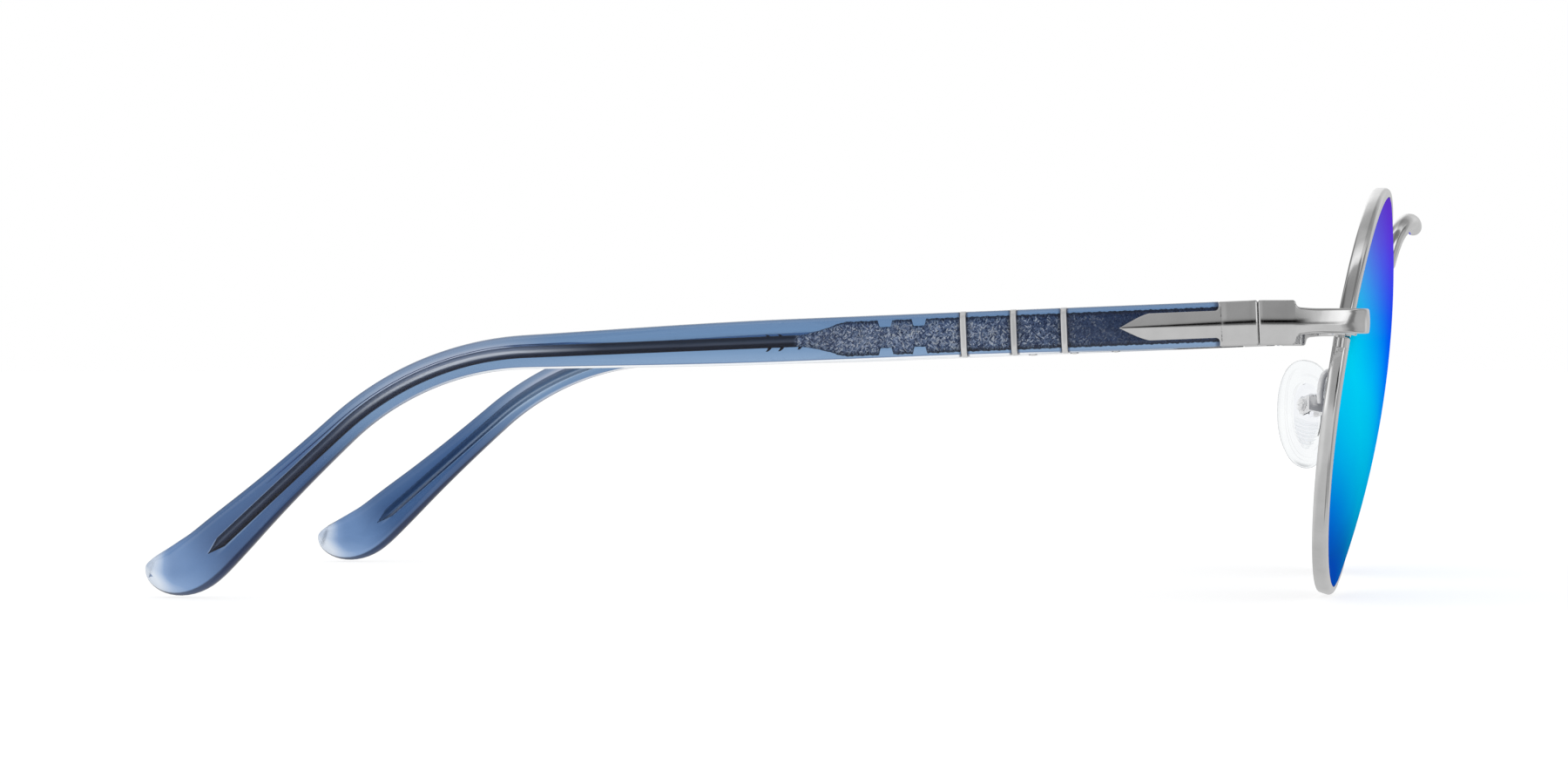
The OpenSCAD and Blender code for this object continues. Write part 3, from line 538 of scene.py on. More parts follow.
def placed(section, s):
    y, z, fall = temple_point(s)
    fall = radians(fall)
    return [from_hinge((MID_X - toe(y) + across, y + up * sin(fall), z + up * cos(fall)))
            for across, up in section]


def temple_section(s, grow=0):
    k = tip_scale(s)
    h = temple_height(s) * k + 2 * grow
    w = temple_width(s) * (k + 1) / 2 + 2 * grow
    return rounded(w, h, min(EDGE_R + grow, 0.49 * h, 0.49 * w), 8)


def core_size(s):
    t = smooth((s - CORE_FLAT) / CORE_TAPER)
    h = mix(CORE_H, CORE_D, t)
    if s > CORE_END - CORE_POINT:
        h = CORE_D * max(0.06, (CORE_END - s) / CORE_POINT)
    return min(mix(CORE_T, CORE_D, t), h), h


def core_edge(s):
    """How far the flat core's edges are cut in at a length: the notches, with sloped sides."""
    slope = 0.22
    inside = max(min(s - start, start + NOTCH_L - s) for start in (front_notch, rear_notch))
    return NOTCH_DEPTH * min(1, max(0, inside / slope))


def swept(lengths, section, sharp):
    """A skin over sections at lengths along the temple, with its place in each as attributes."""
    rings, values = [], {"across": [], "along": [], "outward": [], "core": []}
    for s in lengths:
        q = section(s)
        wide, high = max(x for x, z in q), max(z for x, z in q)
        rings.append(placed(q, s))
        values["across"] += [z / high for x, z in q]
        values["outward"] += [x / wide for x, z in q]
        values["along"] += [s] * len(q)
        values["core"] += [(core_size(s)[1] / 2 - core_edge(s)) / high] * len(q)
    points, faces = loft(rings)
    for s in (lengths[0], lengths[-1]):
        for key, value in (("across", 0), ("outward", 1), ("along", s), ("core", 0)):
            values[key].append(value)
    return make_mesh((points, faces), sharp, values)


def sleeve(start, end, grow=0, r=0.06):
    """A short piece around the core, with edges rounded by r."""
    shrinks = {start + r - r * sin(radians(a)): r - r * cos(radians(a)) for a in (90, 60, 30, 0)}
    count = max(2, int((end - start) / 1.2))
    inside = {mix(start + r, end - r, t): 0 for t in shares(count)[:-1]}
    shrinks = {**shrinks, **inside, **{start + end - s: shrinks[s] for s in reversed(shrinks)}}

    def section(s):
        w, h = temple_width(s) + 2 * grow, temple_height(s) + 2 * grow
        cut_x, cut_z = 1 - 2 * shrinks[s] / w, 1 - 2 * shrinks[s] / h
        return [(x * cut_x, z * cut_z) for x, z in temple_section(s, grow)]

    return swept(list(shrinks), section, 60)


half_spacer = SPACER_T / 2
starts = [CAP_L] + [s + half_spacer for s in SPACERS]
sleeve_nodes = (["front_sleeve_{}"], ["middle_sleeves_{}"], [])
for number, s in enumerate(SPACERS):
    both(f"acetate_sleeve_{number + 1}", sleeve(starts[number] + SEAT, s - half_spacer - SEAT),
         "temple_{}", [acetate], "acetate", *sleeve_nodes[number])
for number, s in enumerate(SPACERS):
    both(f"spacer_plate_{number + 1}", sleeve(s - half_spacer, s + half_spacer, SPACER_PROUD, 0.14),
         "temple_{}", [spacer_metal], "spacer_metal", *(["spacers_{}"] if number == 0 else []))

arm_start = FLEX_END + SEAT
front_edge = {arm_start: 0.97, arm_start + 0.02: 0.988}


def arm_section(s):
    return [(x * front_edge.get(s, 1), z * front_edge.get(s, 1)) for x, z in temple_section(s)]


# short steps over the flat core, then longer ones
fine_start, fine_end = arm_start + 0.06, 56
lengths = [*front_edge, fine_start]
lengths += [mix(fine_start, fine_end, t) for t in shares(140)]
lengths += [mix(fine_end, PADDLE_S, t) for t in shares(90)]
lengths += [PADDLE_S + (PADDLE_L - 0.0002) * sin(pi / 2 * t) for t in shares(20)]
both("acetate_arm", swept(lengths, arm_section, 70), "temple_{}", [acetate], "acetate", "temple_arm_{}")


# ---- core wire
def core_material():
    """Steel with crushed, glittering faces on its flat part, brighter past the middle spacer by painted
    light, then a drawn wire with painted highlights, white over its upper side in the bend.
    """
    mat, n = material("core_steel", {"Specular IOR Level": 0.06})
    place = n.place()
    along, across = n.value("along"), n.value("across")
    y, z = n.split(place)[1:]
    bend = n.minus(n.noise(place, 900), 0.5)

    def dashes(turned, long, short, offset):
        """Random values of cells that are drawn out along one direction."""
        a = radians(turned)
        one = n.plus(n.times(y, cos(a)), n.times(z, sin(a)))
        two = n.minus(n.times(z, cos(a)), n.times(y, sin(a)))
        one, two = n.scaled(one, long, n.times(bend, 1.5)), n.scaled(two, short, n.times(bend, -1.5))
        cells = n.add("ShaderNodeTexVoronoi", {"Vector": n.vector(one, two, offset), "Scale": 1})
        return n.split(cells.outputs["Color"])[0]

    one = dashes(38, 3300, 7600, 0)
    two = dashes(-42, 3100, 8000, 5)
    three = dashes(85, 3700, 7000, 9)
    zone = n.noise(place, 1700, 1)
    pick = n.scaled(n.minus(two, one), n.span(zone, 0.42, 0.5), one)
    pick = n.scaled(n.minus(three, pick), n.span(zone, 0.56, 0.62), pick)
    flakes = n.ramp(pick, [
        (0, 46, 56, 82), (0.22, 74, 88, 118), (0.45, 106, 121, 150), (0.68, 134, 149, 178),
        (0.82, 168, 182, 208), (0.88, 244, 248, 255), (1, 255, 255, 255)])
    # painted light: past the middle spacer the flakes take lighter, lit colours
    lit = n.ramp(pick, [
        (0, 60, 72, 100), (0.22, 92, 107, 138), (0.45, 128, 143, 172), (0.64, 166, 181, 208),
        (0.76, 222, 232, 248), (0.84, 255, 255, 255)])
    flakes = n.blend(n.span(along, 28, 31), flakes, lit)
    cloud = n.span(n.noise(place, 420), 0.35, 0.7, 0, 0.3)
    flakes = n.blend(cloud, flakes, rgb(48, 58, 86))
    deep = n.ramp(n.noise(place, 1500, 3), [(0.3, 54, 66, 94), (0.7, 88, 103, 134)])
    flat = n.blend(n.span(along, 27, 16, 0, 0.8), flakes, deep)
    rim = n.times(n.span(n.size(across), 0.93, 0.985), 0.6)
    flat = n.blend(rim, flat, rgb(18, 24, 44))
    height = n.share(across)
    # painted highlights: a lighter line along the wire's middle, and white over its upper side in the bend
    wire = n.ramp(height, [
        (0, 14, 26, 52), (0.12, 22, 34, 58), (0.34, 38, 44, 60), (0.48, 84, 92, 108),
        (0.62, 74, 84, 100), (0.8, 52, 62, 80), (1, 30, 40, 60)])
    bright = n.ramp(height, [
        (0, 24, 40, 72), (0.2, 50, 62, 86), (0.36, 108, 114, 130), (0.48, 250, 252, 255),
        (0.6, 255, 255, 255), (0.7, 214, 216, 226), (0.85, 180, 186, 200), (1, 140, 152, 174)])
    fallen = n.ramp(height, [
        (0, 16, 30, 58), (0.2, 34, 50, 80), (0.42, 52, 62, 86), (0.56, 100, 110, 128),
        (0.68, 82, 94, 114), (0.85, 54, 70, 96), (1, 52, 66, 92)])
    wire = n.blend(n.span(along, 98, 112), wire, fallen)
    wire = n.blend(n.band(along, 78, 93, 99, 118), wire, bright)
    drawn = n.noise(n.vector(n.times(along, 0.12), n.times(across, 4)), 1)
    wire = n.blend(n.span(drawn, 0.35, 0.7, 0, 0.22), wire, rgb(34, 44, 70))
    # painted light on the wire's inner side
    inside = n.ramp(height, [
        (0, 250, 250, 250), (0.3, 255, 255, 255), (0.45, 190, 196, 206), (0.62, 178, 186, 198),
        (0.8, 204, 210, 220), (1, 235, 238, 242)])
    wire = n.blend(n.span(n.value("outward"), -0.05, -0.2), wire, inside)
    change = n.span(along, 54.4, 55.4)
    n.give("Base Color", n.blend(change, flat, wire))
    n.give("Metallic", n.span(change, 0, 1, 0.3, 0.45))
    n.give("Roughness", n.span(n.times(pick, n.minus(1, change)), 0, 1, 0.2, 0.5))
    n.give("Normal", n.bump(n.times(pick, n.span(along, 55, 53.5)), 0.00006, 0.7))
    return mat


core_steel = core_material()


def core_section(s):
    w, h = core_size(s)
    h -= 2 * core_edge(s)
    if s < CORE_FLAT + 4:
        h -= 0.05 * (1 + sin(s * 7.3) * sin(s * 3.1))
    return rounded(w, h, 0.45 * min(w, h), 6)


round_start, point_start = CORE_FLAT + CORE_TAPER, CORE_END - CORE_POINT
lengths = [mix(CAP_L + SEAT, round_start, t) for t in shares(560, 0)]
lengths += [mix(round_start, point_start, t) for t in shares(130)]
lengths += [mix(point_start, CORE_END, t) for t in shares(6)]
both("core_rod", swept(lengths, core_section, 50), "temple_{}", [core_steel], "core_steel",
     "core_wire_{}")


def barb(s, up, lean):
    """A small hook on the wire that keeps it from sliding in the acetate."""
    rings = []
    for t in shares(6, 0):
        r = 0.25 * (1 - 0.45 * t * t)
        z = (0.5 + abs(up) * t) * (1 if up > 0 else -1)
        rings.append([from_hinge((MID_X - toe(s) + x, s + lean * t * t + y, z)) for x, y in circle(r, 8)])
    return loft(rings)


barbs = join(barb(58.2, 0.4, 0.45), barb(58.2, -0.6, 0.45), barb(56.7, 0.4, 0.45),
             barb(56.7, -0.6, 0.45), barb(54.5, -0.5, 0.3))
places = {"across": [-1] * len(barbs[0]), "along": [58] * len(barbs[0])}
both("core_barbs", make_mesh(barbs, 50, places), "temple_{}", [core_steel], "core_steel")


# ---- hinge block, cap and tongue
def bar_section(half_down, half_up, ridge_at, slope, soft, pillow, corner, depth, inner_corner):
    """Points (depth from the crest, height) of a bar whose outer face has a soft ridge or is a pillow."""
    def face(z):
        rise = slope * (sqrt((z - ridge_at) ** 2 + soft * soft) - soft)
        e = abs(z - ridge_at) / (half_up - ridge_at if z > ridge_at else half_down + ridge_at)
        return rise + pillow * min(1, e) ** 2

    section = []
    for k in range(-12, 13):
        e = k / 12 * (0.25 + 0.75 * (k / 12) ** 2)
        reach = (half_up - ridge_at if e > 0 else half_down + ridge_at) - corner
        z = ridge_at + e * reach
        section.append((face(z), z))
    top, bottom = section[-1], section[0]
    inner = depth - inner_corner
    section += arc(top[0] + corner, top[1], corner, 180, 90)[1:]
    section += arc(inner, half_up - inner_corner, inner_corner, 90, 0)
    section += arc(inner, inner_corner - half_down, inner_corner, 0, -90)
    return section + arc(bottom[0] + corner, bottom[1], corner, 270, 180)[:-1]


RIDGE_SOFT = 0.42
SLOPE = RIDGE / (TEMPLE_H / 2)
CREST = HINGE_IN + TEMPLE_T + RIDGE


def cap_ring(y, shrink, soft):
    half = TEMPLE_H / 2 - shrink
    section = bar_section(half, half, 0, SLOPE, soft, 0, 0.28, TEMPLE_T + RIDGE - 2 * shrink, 0.25)
    return [from_hinge((CREST - shrink * 0.6 - d, y, z)) for d, z in section]


def ridge_soft(y):
    """The ridge is sharp at the tongue's tip and softer towards the hinge."""
    return mix(RIDGE_SOFT, 0.07, min(1, y / TONGUE_L))


# how far from an end, and how much smaller all round
end_edge = ((0, 0.2), (0.04, 0.09), (0.12, 0.025), (0.22, 0))
rings = [cap_ring(GAP + back, shrink, ridge_soft(GAP + back)) for back, shrink in end_edge]
for t in shares(5):
    y = GAP + 0.22 + (CAP_L - GAP - 0.4) * t
    rings.append(cap_ring(y, 0, ridge_soft(y)))
for back, shrink in ((0.1, 0.03), (0.03, 0.1), (0, 0.2)):
    rings.append(cap_ring(CAP_L - back, shrink, ridge_soft(CAP_L)))
cap = make_mesh(loft(rings), 30)

fillet = 0.5
tip_start = TONGUE_L - TONGUE_TIP


def tongue_half(y):
    """Half of the tongue's height: wide behind the cap in a small fillet, then a pointed arch."""
    half = TONGUE_H / 2
    behind = y - CAP_L
    if behind < fillet:
        return half + fillet * (1 - sqrt(max(0, 1 - (1 - max(0, behind) / fillet) ** 2)))
    t = max(0, y - tip_start) / TONGUE_TIP
    return max(0.1, half * (1 - t ** 1.25) * (1 + 0.12 * t * (1 - t)))


def tongue_ring(y, shrink=0):
    half = max(0.05, tongue_half(y) - shrink)
    soft = ridge_soft(y)
    edge = min(0.07, half * 0.5)
    points = []
    for k in range(-14, 15):
        z = k / 14 * (0.3 + 0.7 * (k / 14) ** 2) * (half - edge)
        points.append((CREST - SLOPE * (sqrt(z * z + soft * soft) - soft) - shrink, z))
    x, z = points[-1]
    turned = arc(x - edge, z, edge, 30, 90, 2)
    base = CREST - RIDGE - 0.02
    ring = points + turned + [(base, half), (base, -half)]
    ring += [(px, -pz) for px, pz in reversed(turned)]
    return [from_hinge((px, y, pz)) for px, pz in ring]


rings = [tongue_ring(CAP_L - 0.3)]
rings += [tongue_ring(CAP_L + fillet * t) for t in shares(8, 0)]
rings += [tongue_ring(mix(CAP_L + fillet, tip_start, t)) for t in shares(14)]
rings += [tongue_ring(mix(tip_start, TONGUE_L, t)) for t in shares(16)[:-1]]
rings += [tongue_ring(TONGUE_L - 0.08, 0.03), tongue_ring(TONGUE_L, 0.12)]
both("cap_tongue", make_mesh(loft(rings), 34), "temple_{}", [frame_metal], "frame_metal")


def brick(*corners):
    """A box between its low and its high corner, placed from the hinge."""
    points = [from_hinge([corners[i >> axis & 1][axis] for axis in range(3)]) for i in range(8)]
    return points, [(0, 1, 3, 2), (4, 6, 7, 5), (0, 4, 5, 1), (2, 3, 7, 6), (0, 2, 6, 4), (1, 5, 7, 3)]


knuckle_hole = loft([[from_hinge((x, y, z)) for x, y in circle(KNUCKLE_R + GAP, 40)]
                     for z in (-TEMPLE_H, TEMPLE_H)])
cap = cut(cap, knuckle_hole,
          brick((HINGE_IN - LEAF_T, -0.5, -MIDDLE_H / 2 - SEAT),
                (HINGE_IN + LEAF_T + SEAT, LEAF_L + SEAT, MIDDLE_H / 2 + SEAT)))
both("hinge_cap_body", cap, "temple_{}", [frame_metal], "frame_metal", "hinge_cap_{}")

# ---- endpiece
# Each station has the crest's point and the inner point in plan, then the height of the bar's lower
# and upper face over the hinge's middle, the ridge's share, the pillow and the outer corners.
stations = []
block_end = HINGE.y - BLOCK_L
crest_x = HINGE.x + CREST
inner_x = HINGE.x + HINGE_IN
half_block = TEMPLE_H / 2
arm_low, arm_high = ARM_RISE - ARM_H / 2, ARM_RISE + ARM_H / 2


def station(outer, inner, low, high, ridge=0, pillow=0, corner=0.28, middle=0, lean=0,
            inner_corner=0.25):
    outer, inner = Vector((*outer, 0)), Vector((*inner, 0))
    depth = (inner - outer).length
    way = (inner - outer) / depth
    ring = []
    for d, z in bar_section(-low, high, middle, SLOPE * ridge, RIDGE_SOFT, pillow, corner, depth,
                            inner_corner):
        p = outer + way * d
        ring.append(Vector((p.x, p.y + z * lean, HINGE.z + z)))
    stations.append(ring)


SWEEP_R, SWEEP_A = 3.6, 31
sweep = radians(SWEEP_A)
sweep_y = SWEEP_R * (1 - sin(sweep)) - ARM_FRONT
swing_y = HINGE.y - 2.9


def swing(y):
    """The outer face's turn inwards, in degrees: none at the hinge, then more and more along the arm."""
    q = min(1, max(0, (swing_y - y) / (swing_y - sweep_y)))
    return SWEEP_A * q ** 2.1 + 18 * q * (1 - q) ** 2


def outer_x(y):
    """The outer face's place: the sum of its turns from the hinge block on."""
    x, count = crest_x, 60
    step = max(0, swing_y - y) / count
    for k in range(count):
        x -= step * tan(radians(swing(swing_y - (k + 0.5) * step)))
    return x


def bar(y, low, high, ridge, pillow, corner, middle, lean=0):
    a = radians(swing(y))
    x = outer_x(y)
    into = smooth((block_end + 0.7 - y) / 2.6)
    thick = mix(crest_x - inner_x, mix(ARM_T, 2.3, smooth((4 - y) / 4.5)), into)
    station((x, y), (x - thick * cos(a), y + thick * sin(a) * into), low, high, ridge, pillow, corner,
            middle, lean)


lean = tan(radians(DROP))
for back, shrink in end_edge:
    y = HINGE.y - GAP - back
    station((crest_x - 0.6 * shrink, y), (inner_x + shrink, y), shrink - half_block, half_block - shrink,
            1, lean=lean)
shoulder = 0.4
flat_end = block_end + 0.62
for t in shares(10):
    y = mix(HINGE.y - GAP - 0.22, flat_end, t)
    bar(y, -half_block, half_block, 1, 0, 0.28, 0, lean * (1 - t))
drop_low, drop_high = arm_low + half_block, half_block - arm_high
RIDGE_DOWN = -0.13


def shoulder_bar(y, share):
    """share: how far the height has gone from the block's to the arm's."""
    u = smooth((flat_end + 0.2 - y) / 2.8)
    bar(y, -half_block + drop_low * share, half_block - drop_high * share, 1 - u, 0.38 * u,
        mix(0.28, 0.42, u), RIDGE_DOWN * u)


for t in shares(6):
    shoulder_bar(flat_end - shoulder * sin(pi / 2 * t), 0.4 * (1 - cos(pi / 2 * t)))
for t in shares(8):
    shoulder_bar(flat_end - shoulder - 0.04 - 0.66 * (1 - cos(pi / 2 * t)), 0.4 + 0.5 * sin(pi / 2 * t))
arm_y, run = flat_end - shoulder - 0.7, 2.2
for t in shares(8):
    shoulder_bar(arm_y - run * t, mix(0.9, 1, sin(pi / 2 * t)))
arm_y -= run
for t in shares(26):
    bar(mix(arm_y, sweep_y, t), arm_low, arm_high, 0, mix(0.38, 0.3, t), mix(0.42, 0.36, t),
        mix(RIDGE_DOWN, ARM_RISE, smooth((t - 0.5) * 2)))

# the corner, then the plate on the rim
plate_top = 8.3 + ARM_RISE + ARM_H / 2
plate = from_lens(edge_point(degrees(asin(plate_top / (LENS_H / 2))), RIM_T / 2, -RIM_LIP))
plate_back = plate.y - SEAT
plate_end = plate.x - (ARM_FRONT + plate_back) / 2
x = outer_x(sweep_y)
centre = (x - SWEEP_R * cos(sweep), sweep_y + SWEEP_R * sin(sweep))
for t in shares(14):
    a = mix(sweep, pi / 2, t)
    outer = (centre[0] + SWEEP_R * cos(a), centre[1] - SWEEP_R * sin(a))
    thick = mix(2.3, 2.5, t)
    station(outer, (outer[0] - thick * cos(a), outer[1] + thick * sin(a)), arm_low, arm_high,
            pillow=mix(0.3, 0.12, smooth(t * 1.5)), corner=mix(0.36, 0.28, t), middle=ARM_RISE)
for t in shares(8):
    x = mix(centre[0], plate_end + 0.3, t)
    back = mix(centre[1] - SWEEP_R + 2.5, plate_back, min(1, t * 1.35))
    station((x, -ARM_FRONT), (x, max(plate_back, back)), arm_low, arm_high, pillow=0.12, middle=ARM_RISE)
for out, shrink in ((0.18, 0.04), (0.27, 0.14), (0.3, 0.26)):
    x = plate_end + 0.3 - out
    station((x, shrink - ARM_FRONT), (x, plate_back - shrink), arm_low + shrink, arm_high - shrink,
            pillow=0.12, corner=0.24, inner_corner=0.2, middle=ARM_RISE)
endpiece = make_mesh(loft(stations), 32)
endpiece = cut(endpiece, knuckle_hole,
               brick((HINGE_IN - LEAF_T, -LEAF_L - SEAT, -KNUCKLE_H / 2 - SEAT),
                     (HINGE_IN + LEAF_T + SEAT, 0.5, KNUCKLE_H / 2 + SEAT)))
both("endpiece_body", endpiece, "front", [frame_metal], "frame_metal", "endpiece_{}")

# the upper half of the rim lock, a flared boss under the arm with the screw's bore
lock_low = degrees(asin((RIM_CUT_Z - RIM_CUT / 2 - 1.1) / (LENS_H / 2)))
lock_at = edge_point(lock_low, RIM_T + LOCK_R + 2 * SEAT, LOCK_BACK)


def in_lock(p):
    return from_lens((lock_at.x + p[0], lock_at.y + p[1], RIM_CUT_Z + p[2]))


# radius and height around the boss
bore, low, high = LOCK_SCREW + 0.03, RIM_CUT / 2, LOCK_TOP
profile = [(bore, low + 0.05), (bore + 0.05, low), (LOCK_R - 0.12, low), (LOCK_R - 0.03, low + 0.04),
           (LOCK_R, low + 0.14), (LOCK_R, 0.6), (LOCK_R + 0.05, 0.8), (LOCK_R + 0.12, 0.95),
           (LOCK_R + 0.12, high - 0.2), (LOCK_R, high), (bore, high)]
boss = [[in_lock((r * x, r * y, z)) for r, z in profile] for x, y in circle(1, 40)]
web = []
for z, shrink in ((0.3, 0.12), (0.36, 0.04), (0.46, 0), (high - 0.3, 0)):
    web.append([in_lock((x, y - 0.95, z)) for x, y in rounded(1.3 - 2 * shrink, 1.7 - 2 * shrink, 0.3)])
boss = join(loft(boss, closed=True), loft(web))
both("rim_lock_boss", make_mesh(boss), "front", [frame_metal], "frame_metal")

# ---- rims
# out from the lens's edge, and back
rim_profile = [(0, -0.09), (0.02, -0.13), (0.07, -0.15)] + arc(0.62, 0.4, 0.55, -90, 0, 6)
rim_profile += [(1.18, 0.62), (1.195, 0.8), (1.2, 1)]
rim_profile += arc(0.85, 1.3, 0.35, 0, 80, 4) + [(0.85, 1.65)]
rim_profile += [(0.07, 1.65), (0.02, 1.63), (0, 1.59), (0, 1.12), (0.5, 0.85), (0.5, 0.65), (0, 0.38)]
cut_low = degrees(asin((RIM_CUT_Z - RIM_CUT / 2) / (LENS_H / 2 + 0.6)))
cut_high = degrees(asin((RIM_CUT_Z + RIM_CUT / 2) / (LENS_H / 2 + 0.6)))
rings = []
for t in shares(300, 0):
    a = mix(cut_high, 360 + cut_low, t)
    rings.append([from_lens(edge_point(a, out, back)) for out, back in rim_profile])
both("rim_ring", make_mesh(loft(rings), 42), "front", [frame_metal], "frame_metal", "rim_{}")


# ---- lenses
def lens_materials():
    gloss = {"Specular IOR Level": 0, "Specular Tint": (0.12, 0.5, 1, 1)}
    coat, n = material("mirror_coat", gloss)
    x, y, z = n.split(n.place())
    wave = n.span(n.noise(n.place(), 70), 0.3, 0.7, -0.0005, 0.0005)
    height = n.plus(z, wave)
    aside = n.most(n.size(x), 0.036)
    upper = n.share(n.scaled(aside, -0.88, height), -0.026, 0.016)
    lower = n.share(n.scaled(aside, -0.3, height), -0.01, 0.01)
    level = n.share(height, 0, 0.05)
    # each channel's screen level, over places in mm
    greens = [(-24, 206), (-20, 197), (-16, 182), (-12, 162), (-9, 145), (-6, 126), (-3, 108), (0, 92),
              (3, 80), (6, 70), (9, 62), (13, 54)]
    shades = [(-10, 0.11), (-8, 0.17), (-6, 0.26), (-4, 0.38), (-2, 0.51), (0, 0.64), (3, 0.79),
              (6, 0.9), (10, 1)]
    blues = [(5.5, 178), (8, 193), (11.5, 212), (15, 222), (18, 230), (22, 236), (27, 244), (32, 240),
             (38, 234), (41.5, 228), (44, 218), (46, 210), (49, 198)]
    reds = [(5, 6), (12, 1), (32, 1), (35, 26), (38, 54), (41.5, 78), (44, 90), (49, 96)]
    green = n.times(n.ramp(upper, [((at + 26) / 42, c, c, c) for at, c in greens]),
                    n.ramp(lower, [((at + 10) / 20, c) for at, c in shades]))
    blue = n.ramp(level, [(at / 50, c, c, c) for at, c in blues])
    red = n.ramp(level, [(at / 50, c, c, c) for at, c in reds])
    n.give("Base Color", n.add("ShaderNodeCombineColor", {0: red, 1: green, 2: blue}).outputs[0])
    n.give("Metallic", n.span(n.facing(), 0.45, 0.75, 0.35, 0))
    n.rough(400, 0.06, 0.1)

    rear, n = material("lens_rear", {"Roughness": 0.04, "IOR": 1.55, "Coat Weight": 0.3})
    level = n.share(n.split(n.place())[2], 0, 0.05)
    tint = n.ramp(level, [(0, 70, 78, 96), (0.5, 44, 50, 66), (1, 30, 34, 50)])
    cloud = n.span(n.noise(n.place(), 90), 0.3, 0.7, 0, 0.12)
    n.give("Base Color", n.blend(cloud, tint, rgb(60, 70, 96)))
    n.rough(500, 0.03, 0.06)
    return coat, rear


def lens_mesh(around=220, inward=26):
    """Front and rear faces follow the base curve; the bevelled edge sits in the rim's groove."""
    angles = [360 * k / around for k in range(around)]

    def face_ring(share, back):
        ring = []
        for a in angles:
            px, pz = (share * c for c in lens_point(a))
            s, axis = lens_axis(px, pz)
            ring.append(from_lens(Vector((px, s, pz)) + back * axis))
        return ring

    grown = [0.996 * sin(radians(90 * (k + 0.6) / (inward + 0.6))) for k in range(inward)]
    rings = [face_ring(share, 0) for share in grown]
    for out, back in ((-0.035, 0.03), (-0.02, 0.09), (-0.02, 0.42), (0.38, 0.68), (0.38, 0.82),
                      (-0.02, 1.08), (-0.02, 1.42), (-0.035, 1.47)):
        rings.append([from_lens(edge_point(a, out, back)) for a in angles])
    rings += [face_ring(share, LENS_T) for share in reversed(grown)]
    solid = loft(rings)
    mesh = make_mesh(solid, 30)
    # the coat covers the front as far as the bevel, and the fan in its middle
    front_rings, front_centre = len(grown) + 3, len(solid[0]) - 2
    for polygon in mesh.polygons:
        front = min(polygon.vertices) // around < front_rings or front_centre in polygon.vertices
        polygon.material_index = 0 if front else 1
    return mesh


both("lens_body", lens_mesh(), "front", [*lens_materials()], "mirror_lens", "lens_{}")

# ---- bridge
foot = from_lens(edge_point(180 - BRIDGE_FOOT, RIM_T + BRIDGE_D / 2 + SEAT, 0))
half = [foot, foot + Vector((-LEG_IN, -LEG_FORWARD, LEG_L)),
        Vector((foot.x * TOP_SHARE, -BRIDGE_REACH, LENS_Z + BRIDGE_RISE + TOP_ARCH)),
        Vector((0, -BRIDGE_REACH, LENS_Z + BRIDGE_RISE))]
leg = [bezier(half, t) for t in shares(60, 0)]
path = leg + [Vector((-p.x, p.y, p.z)) for p in reversed(leg[:-1])]


def bridge_radius(t):
    """The wire's ends are rounded off over a short length."""
    end, rounding = min(t, 1 - t) * (len(path) - 1), 2.2
    return BRIDGE_D / 2 * (sqrt(max(0.02, 1 - (1 - end / rounding) ** 2)) if end < rounding else 1)


bridge_mesh = make_mesh(tube(path, bridge_radius, 28, Vector((0, 1, 0.2))), 60)
bridge_mesh.materials.append(frame_metal)
bridge = add_object("bridge_wire", bridge_mesh)
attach(bridge, "front")
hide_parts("bridge")

# ---- nose pads
start = from_lens(edge_point(180 + ARM_FOOT, RIM_T / 2, RIM_D - RIM_LIP + PAD_ARM_D / 2 + SEAT))
end = from_pad((LUG_R + EAR_T + PAD_ARM_D / 2 + SEAT, 0, 0))
curve = [start, start + Vector((ARM_BOW, ARM_BACK, ARM_ARCH)), end + Vector((ARM_BOW, 0, ARM_ARCH)), end]
wire = tube([bezier(curve, t) for t in shares(48, 0)],
            lambda t: PAD_ARM_D / 2 * (1 - 0.35 * max(0, 1 - min(t, 1 - t) * 30) ** 2), 18)
both("pad_arm_wire", make_mesh(wire, 60), "front", [pad_metal], "frame_metal", "pad_arm_{}")

silicone, n = material("clear_silicone", {"Transmission Weight": 1, "IOR": 1.01})
cloud = n.noise(n.place(), 260, 3)
clear = n.ramp(cloud, [(0.3, 250, 251, 252), (0.7, 254, 255, 255)])
# painted shade: the clear pad greys where it is seen edge-on
grazing = n.span(n.facing(), 0.25, 0.85, 0, 0.85)
n.give("Base Color", n.blend(grazing, clear, rgb(204, 206, 208)))
n.give("Normal", n.bump(cloud, 0.00002, 0.15))
n.rough(900, 0.02, 0.07)


def pad_oval(a):
    c, s = cos(a), sin(a)
    return (PAD_W / 2 * copysign(abs(c) ** PAD_ROUND, c) * (1 + PAD_FULL * s),
            PAD_H / 2 * copysign(abs(s) ** PAD_ROUND, s))


